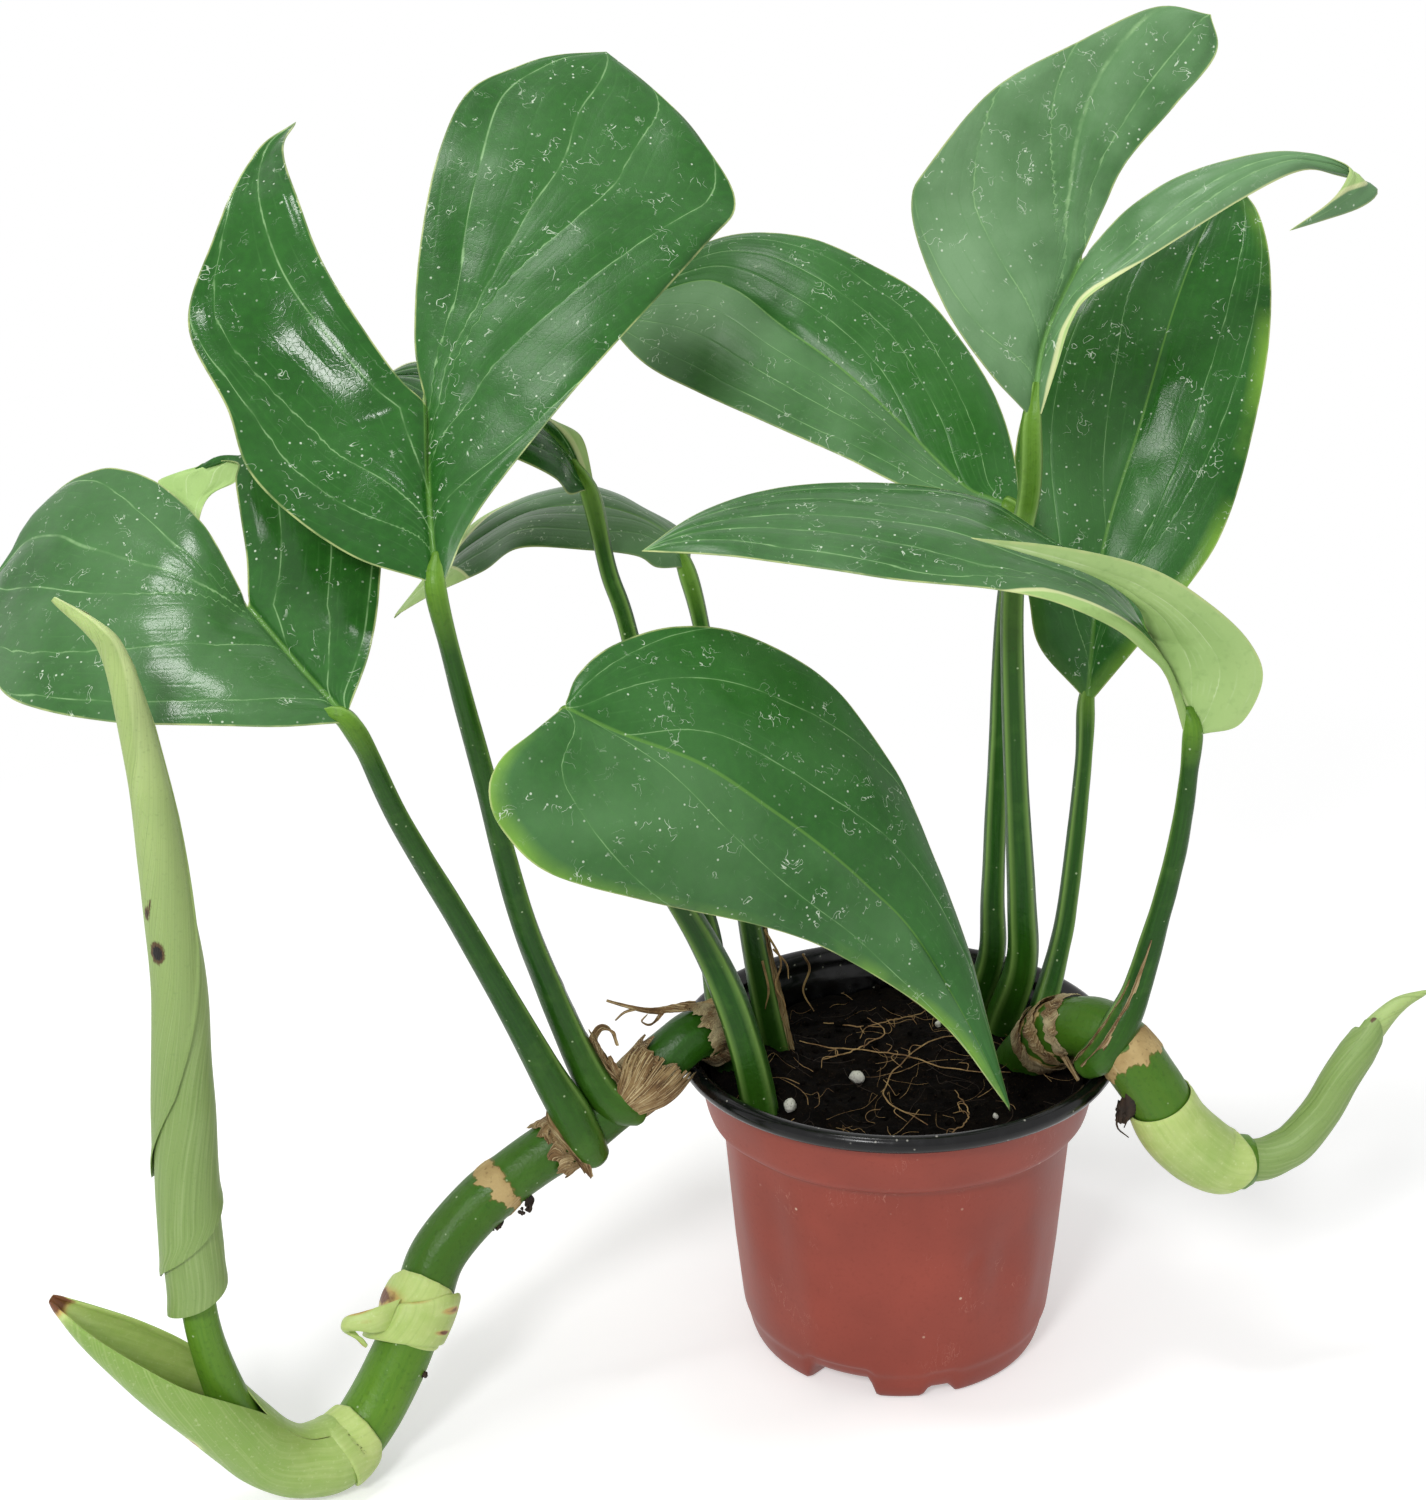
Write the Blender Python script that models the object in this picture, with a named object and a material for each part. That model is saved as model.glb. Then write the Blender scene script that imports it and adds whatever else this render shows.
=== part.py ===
"""Potted dragon tail plant: two trailing canes with nine leaves in a nursery pot.

Run with: blender --background --python part.py

World axes: +Z up, -Y the front, origin at the centre of the pot's underside.
Every size below is in millimetres and is turned into metres when a mesh is made.
Leaf outlines are (along, left, lift): along the blade from the top of its stalk,
to its left, and up from its plane.
"""
import math
import random

import bmesh
import bpy
import numpy as np
from mathutils import Vector, kdtree

MM = 0.001
GAP = 0.3  # clearance kept between two pieces that touch
WELD = 0.02  # points of a surface closer than this are one point
UP = np.array((0.0, 0.0, 1.0))

# ---- Driving dimensions ----------------------------------------------------

POT_WALL = 1.2
POT_RIM_RADIUS = 60.0
POT_HEIGHT = 90.5
POT_FOOT_RADIUS = 40.3
# outer skin of the pot from the foot to the rolled rim, then the inner skin down
POT_OUTER = ((POT_FOOT_RADIUS, 1.0), (41.3, 4.0), (43.0, 12.0), (45.0, 30.0),
             (47.4, 62.0), (48.0, 68.0), (51.4, 70.0), (55.3, 86.0))
POT_LIP = ((59.2, 86.0), (POT_RIM_RADIUS, 87.2), (POT_RIM_RADIUS, 89.3),
           (58.9, POT_HEIGHT), (57.0, POT_HEIGHT), (55.6, 89.2))
POT_INNER = ((54.1, 85.0), (50.2, 71.2), (46.8, 69.2), (46.2, 62.0),
             (43.8, 30.0), (41.8, 12.0), (39.6, 2.4))
# arches pressed into the foot: (middle angle, width, height), degrees and mm
FOOT_ARCHES = ((244.0, 22.0, 6.0), (283.0, 7.0, 3.0), (4.0, 22.0, 6.0),
               (43.0, 7.0, 3.0), (124.0, 22.0, 6.0), (163.0, 7.0, 3.0))
CHANNEL_START = 27.0  # radius where the arches' channels rise from the flat floor
ARCH_FLANK = 4.0  # degrees over which each side of an arch slopes down

SOIL_LEVEL = 77.0
# heaps of soil around the stems: (x, y, height, spread)
SOIL_HEAPS = ((-42.0, -2.0, 7.0, 13.0), (40.0, 0.0, 6.0, 15.0), (5.0, 25.0, 2.0, 20.0))

BLADE = 1.0  # thickness of a leaf blade
SHEATH = 0.8  # thickness of a papery or fleshy sheath

LEFT_CANE = ((-32, 5, 58), (-39, 3, 74), (-45, -2, 86), (-49, -9, 95), (-56, -17, 98.8),
             (-70, -22, 88), (-87, -28, 77), (-107, -36, 66), (-122, -45, 53),
             (-128, -51, 39), (-137, -59, 21), (-145, -66, 10.5), (-150, -71, 8.2))
LEFT_CANE_RADII = ((0, 6.2), (0.2, 6.4), (0.35, 6.9), (0.45, 7.6), (0.5, 7.1), (0.6, 7.2),
                   (0.62, 7.8), (0.66, 7.3), (0.8, 7.6), (0.86, 7.6), (1.0, 8.0))
RIGHT_CANE = ((31, 6, 58), (33, 3, 74), (38, -6, 88), (45, -16, 98.5), (54, -25, 100.4),
              (64, -30, 88.5), (71, -31, 76), (81, -31, 67), (90, -31, 65.3))
RIGHT_CANE_RADII = ((0, 7.2), (0.45, 8.0), (0.6, 8.2), (0.85, 8.0), (1.0, 7.2))
RIGHT_SHOOT = ((96.2, -31, 65.8), (103, -30, 68), (111, -29, 75), (118, -28, 87),
               (124, -27, 99), (130, -26, 108), (138, -25, 113))
RIGHT_SHOOT_RADII = ((0, 5.6), (0.3, 6.0), (0.6, 5.6), (0.8, 4.0), (0.92, 2.4), (1.0, 0.7))

NEW_STALK = ((-155.8, -75.2, 9.8), (-162, -78.5, 14.5), (-169, -81, 26), (-173, -84, 42),
             (-175.5, -85.8, 60))
NEW_STALK_RADII = ((0, 4.6), (0.4, 4.8), (1.0, 3.8))
ROLLED_LEAF = ((-176, -86, 65.3), (-175, -87, 96), (-173, -88, 125), (-171, -89, 150),
               (-171, -91, 173), (-171.5, -94, 200), (-173, -96, 220), (-175.5, -96, 233),
               (-179, -97, 239), (-186, -97, 245))
ROLLED_LEAF_RADII = ((0, 7.0), (0.12, 8.1), (0.3, 7.1), (0.5, 5.9), (0.65, 5.0), (0.75, 3.8),
                     (0.85, 3.2), (0.92, 2.6), (1.0, 0.6))

# ---- Helpers ---------------------------------------------------------------


def clear_scene():
    for item in list(bpy.data.objects):
        bpy.data.objects.remove(item, do_unlink=True)


def linear(channel):
    if channel <= 0.04045:
        return channel / 12.92
    return ((channel + 0.055) / 1.055) ** 2.4


def make_material(name, hex_colour, roughness, metallic=0.0):
    mat = bpy.data.materials.new(name)
    mat.use_nodes = True
    shader = mat.node_tree.nodes["Principled BSDF"]
    channels = [int(hex_colour[i:i + 2], 16) / 255 for i in (1, 3, 5)]
    shader.inputs["Base Color"].default_value = [linear(c) for c in channels] + [1.0]
    shader.inputs["Roughness"].default_value = roughness
    shader.inputs["Metallic"].default_value = metallic
    mat.diffuse_color = shader.inputs["Base Color"].default_value
    return mat


def add_object(name, verts, faces, mat):
    """Make one object from points in millimetres, with its faces turned outward."""
    mesh = bpy.data.meshes.new(name)
    mesh.from_pydata([Vector(v) * MM for v in verts], [], [tuple(f) for f in faces])
    mesh.materials.append(mat)
    work = bmesh.new()
    work.from_mesh(mesh)
    bmesh.ops.recalc_face_normals(work, faces=work.faces)
    work.to_mesh(mesh)
    work.free()
    obj = bpy.data.objects.new(name, mesh)
    bpy.context.scene.collection.objects.link(obj)
    return obj


def unit(vector):
    return vector / max(np.linalg.norm(vector), 1e-9)


def spline(points, count):
    """Points at equal steps along a smooth curve through the given ones."""
    given = np.array(points, float)
    padded = np.vstack((2 * given[0] - given[1], given, 2 * given[-1] - given[-2]))
    dense = []
    for a, b, c, d in zip(padded[:-3], padded[1:-2], padded[2:-1], padded[3:]):
        for t in np.linspace(0, 1, 12, endpoint=False):
            dense.append(0.5 * (2 * b + (c - a) * t + (2 * a - 5 * b + 4 * c - d) * t * t
                                + (3 * b - a - 3 * c + d) * t ** 3))
    dense.append(given[-1])
    dense = np.array(dense)
    travelled = np.concatenate(([0], np.cumsum(np.linalg.norm(np.diff(dense, axis=0), axis=1))))
    steps = np.linspace(0, travelled[-1], count)
    return np.stack([np.interp(steps, travelled, dense[:, k]) for k in range(3)], -1)


def frames_along(path):
    """Tangent, side and up vectors that turn as little as they can along a path."""
    tangents = np.gradient(path, axis=0)
    tangents = np.array([unit(t) for t in tangents])
    start = UP if abs(tangents[0] @ UP) < 0.9 else np.array((0.0, -1.0, 0.0))
    up = unit(start - (start @ tangents[0]) * tangents[0])
    ups = []
    for tangent in tangents:
        up = unit(up - (up @ tangent) * tangent)
        ups.append(up)
    ups = np.array(ups)
    return tangents, np.cross(tangents, ups), ups


def tube_mesh(points, radii, rings, sides, extra=0.0):
    """A round bar along a curve, with low domed ends; extra makes it fatter."""
    path = spline(points, rings)
    tangents, sideways, ups = frames_along(path)
    fractions = np.linspace(0, 1, rings)
    radius = np.interp(fractions, *zip(*radii)) + extra
    stations = [(path[0] - tangents[0] * radius[0] * 0.3, 0, 0.7 * radius[0])]
    stations += [(path[i], i, radius[i]) for i in range(rings)]
    stations.append((path[-1] + tangents[-1] * radius[-1] * 0.3, rings - 1, 0.7 * radius[-1]))
    angles = np.linspace(0, 2 * math.pi, sides, endpoint=False)
    verts = []
    for centre, i, size in stations:
        for angle in angles:
            verts.append(centre + size * (math.cos(angle) * ups[i] + math.sin(angle) * sideways[i]))
    faces = []
    for ring in range(len(stations) - 1):
        for k in range(sides):
            a = ring * sides + k
            b = ring * sides + (k + 1) % sides
            faces.append((a, b, b + sides, a + sides))
    start_tip = len(verts)
    verts.append(path[0] - tangents[0] * (radius[0] * 0.45 + extra))
    verts.append(path[-1] + tangents[-1] * (radius[-1] * 0.45 + extra))
    last = (len(stations) - 1) * sides
    for k in range(sides):
        after = (k + 1) % sides
        faces.append((k, start_tip, after))
        faces.append((last + k, last + after, start_tip + 1))
    return verts, faces


def tube(name, points, radii, mat, rings, sides=10):
    return add_object(name, *tube_mesh(points, radii, rings, sides), mat)


def cutter(name, points, radii, rings, sides=12):
    """The room that a tube takes up in another piece, with the clearance round it."""
    obj = add_object(name, *tube_mesh(points, radii, rings, sides, GAP), cut_material)
    obj.hide_render = True
    obj.display_type = "WIRE"
    return obj


def carve(obj, *cutters):
    for tool in cutters:
        cut = obj.modifiers.new("clear_" + tool.name, "BOOLEAN")
        cut.operation = "DIFFERENCE"
        cut.solver = "EXACT"
        cut.object = tool


def thin_solid(name, points, quads, thickness, mat):
    """A closed skin of even thickness on both sides of a surface."""
    near = kdtree.KDTree(len(points))
    for index, point in enumerate(points):
        near.insert(point, index)
    near.balance()
    first = [min(found[1] for found in near.find_range(p, WELD)) for p in points]
    kept = sorted(set(first))
    order = [kept.index(index) for index in first]
    middle = np.array([points[index] for index in kept])
    faces = []
    for quad in quads:
        face = []
        for index in quad:
            if order[index] not in face:
                face.append(order[index])
        if len(face) > 2:
            faces.append(face)
    normals = np.zeros_like(middle)
    for face in faces:
        corners = middle[face]
        normal = np.zeros(3)
        for a, b in zip(corners, np.roll(corners, -1, axis=0)):
            normal += np.cross(a, b)
        for index in face:
            normals[index] += unit(normal)
    normals = np.array([unit(n) for n in normals])
    count = len(middle)
    verts = list(middle + normals * thickness / 2) + list(middle - normals * thickness / 2)
    edges = {}
    for face in faces:
        for a, b in zip(face, face[1:] + face[:1]):
            edges[(a, b)] = edges.get((a, b), 0) + 1
    solid = [tuple(f) for f in faces] + [tuple(i + count for i in reversed(f)) for f in faces]
    for a, b in edges:
        if (b, a) not in edges:
            solid.append((b, a, a + count, b + count))
    return add_object(name, verts, solid, mat)


def sheet(name, rows, thickness, mat):
    """A thin solid on a grid of points, given row by row."""
    across = len(rows[0])
    points = [p for row in rows for p in row]
    quads = []
    for r in range(len(rows) - 1):
        for c in range(across - 1):
            a = r * across + c
            quads.append((a, a + 1, a + across + 1, a + across))
    return thin_solid(name, points, quads, thickness, mat)


def half_blade(inner, outer, columns, cup):
    """Grid between a blade's middle line and its margin, bulged by cup."""
    rows = []
    count = len(inner)
    for r in range(count):
        row = []
        swell = math.sin(math.pi * r / (count - 1))
        for c in range(columns + 1):
            b = c / columns
            point = (1 - b) * inner[r] + b * outer[r]
            row.append(point + np.array((0, 0, 4 * b * (1 - b) * cup * swell)))
        rows.append(row)
    return rows


def blade(name, base, along, face, seam, left, right, cups, mat, left_inner=None,
          right_inner=None, reach=(0.3, 0.3), rows=11, columns=3):
    """One leaf blade. A split blade's lobes share the seam and part at its end.

    seam is the midrib of a whole blade, or the joined part of a split one; reach says
    how far along each margin the joined part goes.
    """
    direction = unit(np.array(along, float))
    normal = np.array(face, float)
    normal = unit(normal - (normal @ direction) * direction)
    leftward = np.cross(normal, direction)
    turn = np.stack((direction, leftward, normal))
    halves = []
    for edge, inner, share, cup in ((left, left_inner, reach[0], cups[0]),
                                    (right, right_inner, reach[1], cups[1])):
        if inner is None:
            halves.append(half_blade(spline(seam, rows), spline(edge, rows), columns, cup))
            continue
        joined = max(3, round(rows * 0.35))
        free = rows - joined
        line = np.vstack((spline(seam, joined + 1), spline(inner, free)[1:]))
        dense = spline(edge, 200)
        cut = int(share * 199)
        picks = np.concatenate((np.linspace(0, cut, joined + 1), np.linspace(cut, 199, free)[1:]))
        halves.append(half_blade(line, dense[np.round(picks).astype(int)], columns, cup))
    points = []
    quads = []
    for side, grid in enumerate(halves):
        across = columns + 1
        start = len(points)
        points += [np.array(base) + p @ turn for row in grid for p in row]
        for r in range(len(grid) - 1):
            for c in range(columns):
                a = start + r * across + c
                quad = (a, a + 1, a + across + 1, a + across)
                quads.append(quad[::-1] if side == 0 else quad)
    return thin_solid(name, points, quads, BLADE, mat)


def wrap(name, points, radii, span, arc, mat, clearance=GAP, flare=(0.0, 0.0), turn=0.0,
         rows=7, columns=9, thickness=SHEATH):
    """A sheath bent round part of a tube.

    span is the stretch of the tube's length, arc the first and last angle from its top
    in degrees, flare the extra radius at the two ends and turn a twist along it.
    """
    dense = spline(points, 120)
    _, sideways, ups = frames_along(dense)
    grid = []
    for r in range(rows):
        f = span[0] + (span[1] - span[0]) * r / (rows - 1)
        i = int(round(f * 119))
        radius = np.interp(f, *zip(*radii)) * 1.02 + clearance + thickness / 2
        blend = r / (rows - 1)
        radius += flare[0] * (1 - blend) ** 2 + flare[1] * blend ** 2
        row = []
        for c in range(columns):
            angle = math.radians(arc[0] + (arc[1] - arc[0]) * c / (columns - 1) + turn * blend)
            row.append(dense[i] + radius * (math.cos(angle) * ups[i] + math.sin(angle) * sideways[i]))
        grid.append(row)
    return sheet(name, grid, thickness, mat)


# ---- Materials -------------------------------------------------------------

clear_scene()
cut_material = make_material("clearance", "#808080", 0.5)
pot_material = make_material("terracotta_plastic", "#A34F40", 0.42)
soil_material = make_material("peat", "#17110D", 0.95)
perlite_material = make_material("perlite_grain", "#CFCCC0", 0.9)
root_material = make_material("dry_root", "#8A6B45", 0.85)
leaf_material = make_material("leaf_surface", "#2F6B35", 0.3)
stalk_material = make_material("leaf_stalk", "#3B7431", 0.45)
cane_material = make_material("green_cane", "#2E6F31", 0.4)
young_material = make_material("young_leaf", "#9CC07A", 0.45)
fresh_sheath_material = make_material("fresh_sheath", "#B9D47A", 0.5)
dry_sheath_material = make_material("dry_sheath", "#8A7350", 0.85)


# ---- Pot -------------------------------------------------------------------


def arch_height(angle, radius):
    """How far the pressed arches lift the foot at this angle and radius."""
    lift = 0.0
    for middle, width, height in FOOT_ARCHES:
        off = abs((angle - middle + 180) % 360 - 180)
        if off <= width / 2:
            ramp = (radius - CHANNEL_START) / (POT_FOOT_RADIUS - CHANNEL_START)
            lift = max(lift, height * min(1.0, max(0.0, ramp)))
    return lift


def build_pot():
    angles = set(float(a) for a in range(0, 360, 8))
    for middle, width, _ in FOOT_ARCHES:
        angles = set(a for a in angles
                     if abs((a - middle + 180) % 360 - 180) > width / 2 + ARCH_FLANK + 1.0)
        for step in (-0.5, 0.5):
            angles.add((middle + step * width) % 360)
            angles.add((middle + step * (width + 2 * ARCH_FLANK)) % 360)
        if width > 10:
            angles.add(middle % 360)
    angles = sorted(angles)
    floor = ((12.0, 0.0), (CHANNEL_START, 0.0), (32.5, 0.0), (38.8, 0.0))
    inside = ((33.0, POT_WALL + 0.5), (CHANNEL_START, POT_WALL), (12.0, POT_WALL))
    profile = floor + POT_OUTER + POT_LIP + POT_INNER + inside
    verts = [(0, 0, 0), (0, 0, POT_WALL)]
    for angle in angles:
        turn = math.radians(angle)
        for radius, height in profile:
            lift = arch_height(angle, radius) * max(0.0, 1 - height / 12)
            verts.append((radius * math.cos(turn), radius * math.sin(turn), height + lift))
    count = len(profile)
    faces = []
    for k in range(len(angles)):
        here = 2 + k * count
        there = 2 + (k + 1) % len(angles) * count
        faces.append((0, there, here))
        faces.append((1, here + count - 1, there + count - 1))
        for p in range(count - 1):
            faces.append((here + p, there + p, there + p + 1, here + p + 1))
    return add_object("pot", verts, faces, pot_material)


build_pot()

# ---- Canes and stalks ------------------------------------------------------

left_cane = tube("left_cane", LEFT_CANE, LEFT_CANE_RADII, cane_material, 30, 12)
right_cane = tube("right_cane", RIGHT_CANE, RIGHT_CANE_RADII, cane_material, 18, 12)
left_cane_room = cutter("left_cane_room", LEFT_CANE, LEFT_CANE_RADII, 30)
right_cane_room = cutter("right_cane_room", RIGHT_CANE, RIGHT_CANE_RADII, 18)
tube("right_shoot", RIGHT_SHOOT, RIGHT_SHOOT_RADII, young_material, 12)
tube("new_stalk", NEW_STALK, NEW_STALK_RADII, young_material, 10)
tube("rolled_leaf", ROLLED_LEAF, ROLLED_LEAF_RADII, young_material, 18)

# each stalk runs from its foot in the soil or on a cane up to its blade
STALKS = {
    "stalk_upper_left": (((-79, -25, 81), (-81, -24, 90), (-84.5, -25, 98), (-91, -31, 120),
                          (-97, -39, 146), (-103, -50, 187), (-108, -58, 220),
                          (-110, -61.5, 236)), left_cane_room),
    "stalk_lower_left": (((-88, -28.5, 76), (-89, -30, 86), (-92, -33, 95), (-99, -39, 116),
                          (-111, -50, 149), (-122, -62, 180), (-129.8, -74.3, 209)),
                         left_cane_room),
    "stalk_back_left": (((-46, -1, 86), (-48, 0, 98), (-51, 2, 122), (-58, 4, 144),
                         (-69, 7, 202), (-74, 8, 220), (-77.8, 8, 240)), left_cane_room),
    "stalk_back_centre": (((-29, 14, 66), (-33, 12, 82), (-39, 13, 117), (-42, 18, 145),
                           (-50, 28, 195), (-54, 30, 213.1)), None),
    "stalk_front": (((-36, -20, 66), (-38, -21, 80), (-41, -20.5, 96), (-45.5, -20, 112),
                     (-52, -20, 128), (-62, -26, 150), (-72, -38, 176), (-79, -52, 197),
                     (-81.3, -59.7, 204.7)), None),
    "stalk_upper_right": (((28, 18, 64), (31, 16, 84), (35, 8, 106), (34, 4, 127),
                           (31, 2, 170), (29, -1, 215), (32, -6, 242), (32, -8, 260)), None),
    "stalk_middle_right": (((19, 25, 64), (23, 22, 84), (28, 18, 104), (28, 18, 124),
                            (29, 20, 164), (30, 22, 200), (32, 20.5, 228)), None),
    "stalk_arched_right": (((55, -25, 97), (57, -25, 105), (61, -25, 118), (67, -33, 156),
                            (68, -39.7, 187.2)), right_cane_room),
    "stalk_tall_right": (((37, 16, 64), (41, 14, 84), (47, 20, 104), (50, 24, 119),
                          (54, 31, 156), (55, 34.8, 172.1)), None),
}
STALK_RADII = ((0, 4.4), (0.12, 3.9), (0.3, 3.0), (0.85, 2.4), (1.0, 2.3))
for stalk_name, (route, room) in STALKS.items():
    stalk = tube(stalk_name, route, STALK_RADII, stalk_material, 16, 8)
    if room:
        carve(stalk, room)

# ---- Leaf blades -----------------------------------------------------------

blade("leaf_upper_left", (-110, -62, 237), (0, 0.62, 0.78), (0.1, -0.77, 0.62),
      seam=((0.8, 0, 0), (22, 2, -3), (46, 3, -3)),
      left=((0.8, 2, 0), (6, 21, 4), (23, 41, 4), (41, 48, 4), (63, 58, 2), (86, 53, 2),
            (111, 45, 0), (123, 36, -4)),
      right=((0.8, -2, 0), (17, -10, 4), (49, -33, 6), (87, -62, 2), (103, -71, -2),
             (121, -63, -3), (135, -53, -5), (149, -40, -8)),
      left_inner=((46, 3, -3), (53, 11, 0), (75, 26, 6), (93, 33, 6), (111, 38, 2), (123, 36, -4)),
      right_inner=((46, 3, -3), (62, 6, -1), (87, 5, 2), (112, 1, 2), (132, -6, -2),
                   (142, -19, -5), (146, -28, -6), (149, -40, -8)),
      cups=(-3, 1), reach=(0.36, 0.3), mat=leaf_material, rows=14)
blade("leaf_lower_left", (-130, -75, 210), (-0.98, 0.11, 0.16), (0.05, -0.64, 0.76),
      seam=((0.8, -0.5, 0), (15, -13, -3), (31, -27, -3)),
      left=((0.8, 1.5, 0), (14, 7, 3), (30, 11, 5), (48, 13, 4), (68, 11, 0), (81, 4, -6),
            (92, -13, -14), (97, -32, -17)),
      right=((0.4, -2.5, 0), (-1, -17, 2), (1, -34, 2), (6, -53, 0), (16, -62, 2), (28, -66, 3),
             (37, -62, 5), (44, -54, 3), (50, -48, -3), (61, -54, -9)),
      left_inner=((31, -27, -3), (37, -34, 0), (46, -44, 2), (59, -54, 0), (69, -58, -2),
                  (77, -58, -4), (87, -52, -9), (97, -32, -17)),
      right_inner=((31, -27, -3), (34, -38, -1), (39, -53, 0), (43, -63, -2), (51, -61, -8),
                   (61, -54, -9)),
      cups=(2, 1), reach=(0.3, 0.22), mat=leaf_material, rows=14)
blade("leaf_back_left", (-78, 8, 241), (-1, 0, 0), (0, 0, 1),
      seam=((0.5, 0, 0.8), (6, -3, 10), (15, -7, 18), (28, -13, 24), (41, -17, 27), (53, -19, 27)),
      left=((1, 2, 0.8), (5, 7, 1), (8, 11, 6), (17, 11, 11), (30, 7, 15), (43, -2, 21),
            (53, -19, 27)),
      right=((-1, -2, 1.5), (1, -5, 11), (4, -9, 14), (10, -15, 15), (24, -25, 20), (37, -29, 26),
             (46, -27, 29), (53, -19, 27)),
      cups=(2, 2), mat=leaf_material, rows=9)
blade("leaf_back_centre", (-54, 30, 214), (-1, 0, 0), (0, 0, 1),
      seam=((0.5, 0, 1), (4, 0, 9), (15, -2, 15), (28, -4, 17), (44, -6, 14), (61, -4, 4),
            (79, 2, -11)),
      left=((1.5, 2, 1), (8, 9, 3), (13, 12, 7), (25, 16, 10), (43, 16, 11), (53, 12, 4),
            (67, 8, -3), (79, 2, -11)),
      right=((-1, -2, 2), (0, -10, 7), (11, -16, 12), (25, -22, 17), (40, -26, 15), (56, -21, 10),
             (66, -12, 2), (79, 2, -11)),
      cups=(2, 2), mat=leaf_material, rows=10)
blade("leaf_upper_right", (32, -8, 261), (0.13, 0.31, 0.94), (0.04, -0.95, 0.31),
      seam=((0.8, 0, 0), (19, -1, -2), (40, -8, -3)),
      left=((0.8, 2, 0), (9, 13, 4), (21, 24, 6), (37, 33, 6), (48, 36, 5), (56, 33, 5),
            (77, 19, 2), (92, -1, -2), (104, -20, -6), (104, -34, -7)),
      right=((0.8, -2, 0), (12, -4, 3), (23, -6, 6), (30, -10, 8), (42, -25, 10), (56, -43, 12),
             (65, -57, 8), (65, -66, 8), (63, -76, 8), (58, -73, 10), (49, -54, 14)),
      left_inner=((40, -8, -3), (53, -12, -1), (64, -16, 0), (80, -27, -2), (94, -36, -5),
                  (104, -34, -7)),
      right_inner=((40, -8, -3), (52, -17, 2), (61, -29, 6), (68, -47, 8), (69, -58, 9),
                   (67, -67, 12), (65, -71, 14), (60, -68, 15), (49, -54, 14)),
      cups=(-2, 2), reach=(0.3, 0.25), mat=leaf_material, rows=16)
blade("leaf_middle_right", (32, 20, 230), (-0.96, 0.06, 0.28), (0.15, -0.75, 0.64),
      seam=((0.8, -1.5, 0), (11, -20, -2), (30, -36, -2), (51, -45, -2), (74, -50, -6),
            (96, -49, -14), (119, -38, -24)),
      right=((-1, -2, 0), (4, -17, 2), (12, -31, 4), (23, -44, 5), (36, -55, 5), (52, -61, 4),
             (72, -65, 1), (92, -63, -8), (107, -53, -16), (119, -38, -24)),
      left=((0.8, 2, 0), (14, 2.5, 3), (29, 3, 5), (47, -1, 6), (67, -5, 5), (88, -11, 0),
            (104, -21, -12), (119, -38, -24)),
      cups=(2, 2), mat=leaf_material, rows=11)
blade("leaf_tall_right", (55, 35, 173), (0.25, 0.31, 0.92), (-0.07, -0.94, 0.33),
      seam=((0.8, 0, 0), (41, 5, -3), (76, 3, -4), (111, 1, -6), (136, -3, -10), (150, -9, -14)),
      left=((0.8, 2, 0), (11, 16, 3), (24, 22, 4), (46, 28, 4), (69, 30, 3), (95, 26, 1),
            (122, 15, -5), (150, -9, -14)),
      right=((0.8, -2, 0), (15, -9, 4), (35, -19, 6), (52, -25, 6), (75, -27, 6), (105, -26, 4),
             (127, -22, -2), (142, -16, -9), (150, -9, -14)),
      cups=(2, 2), mat=leaf_material, rows=11)
blade("leaf_front", (-81, -62, 206), (0.68, 0.08, -0.73), (0.5, -0.78, 0.38),
      seam=((-1, 0, 0), (17, 4, 3), (33, 8, 5), (69, 13, 7), (109, 12, 5), (156, 0, 0)),
      left=((-2, 1, 0), (-3, 9, -2), (0, 21, -3), (10, 36, -3), (26, 47, -2), (50, 52, 0),
            (75, 48, 0), (92, 41, 0), (121, 25, 0), (156, 0, 0)),
      right=((-2, -1, 0), (-4, -10, -1), (-6, -19, -2), (-4, -27, -2), (4, -32, -2), (19, -33, 0),
             (43, -22, 0), (70, -8, 0), (92, 0, 0), (125, 5, 0), (156, 0, 0)),
      cups=(2, 2), mat=leaf_material, rows=14)
blade("leaf_arched_right", (68, -40, 188), (-1, 0, 0), (0, 0, 1),
      seam=((-0.5, 0, 0.8), (2, -1, 9), (11, -4, 25)),
      left=((2, 1, 0.8), (8, 5, 17), (14, 7, 24), (22, 9, 31), (36, 11, 38), (52, 12, 42),
            (73, 10, 44), (90, 6, 46), (110, 1, 48), (132, -6, 48)),
      right=((-2.5, 0, 0.8), (-11, 2, 4), (-15, 5, 16), (-11, 7, 26), (-1, 9, 36), (14, 12, 46),
             (35, 17, 53), (57, 22, 57)),
      left_inner=((11, -4, 25), (18, -18, 35), (33, -28, 44), (45, -32, 51), (60, -34, 55),
                  (78, -34, 57), (100, -29, 57), (118, -19, 54), (132, -6, 48)),
      right_inner=((11, -4, 25), (15, 1, 34), (27, 8, 44), (38, 14, 50), (57, 22, 57)),
      cups=(3, -3), reach=(0.24, 0.34), mat=leaf_material, rows=14)

# ---- Soil ------------------------------------------------------------------


def soil_height(x, y):
    """Top of the peat: level, heaped round the stems, with shallow lumps."""
    height = SOIL_LEVEL + 0.4 * math.sin(0.31 * x + 1.0) * math.cos(0.27 * y)
    for cx, cy, rise, spread in SOIL_HEAPS:
        height += rise * math.exp(-((x - cx) ** 2 + (y - cy) ** 2) / (2 * spread ** 2))
    return height


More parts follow.
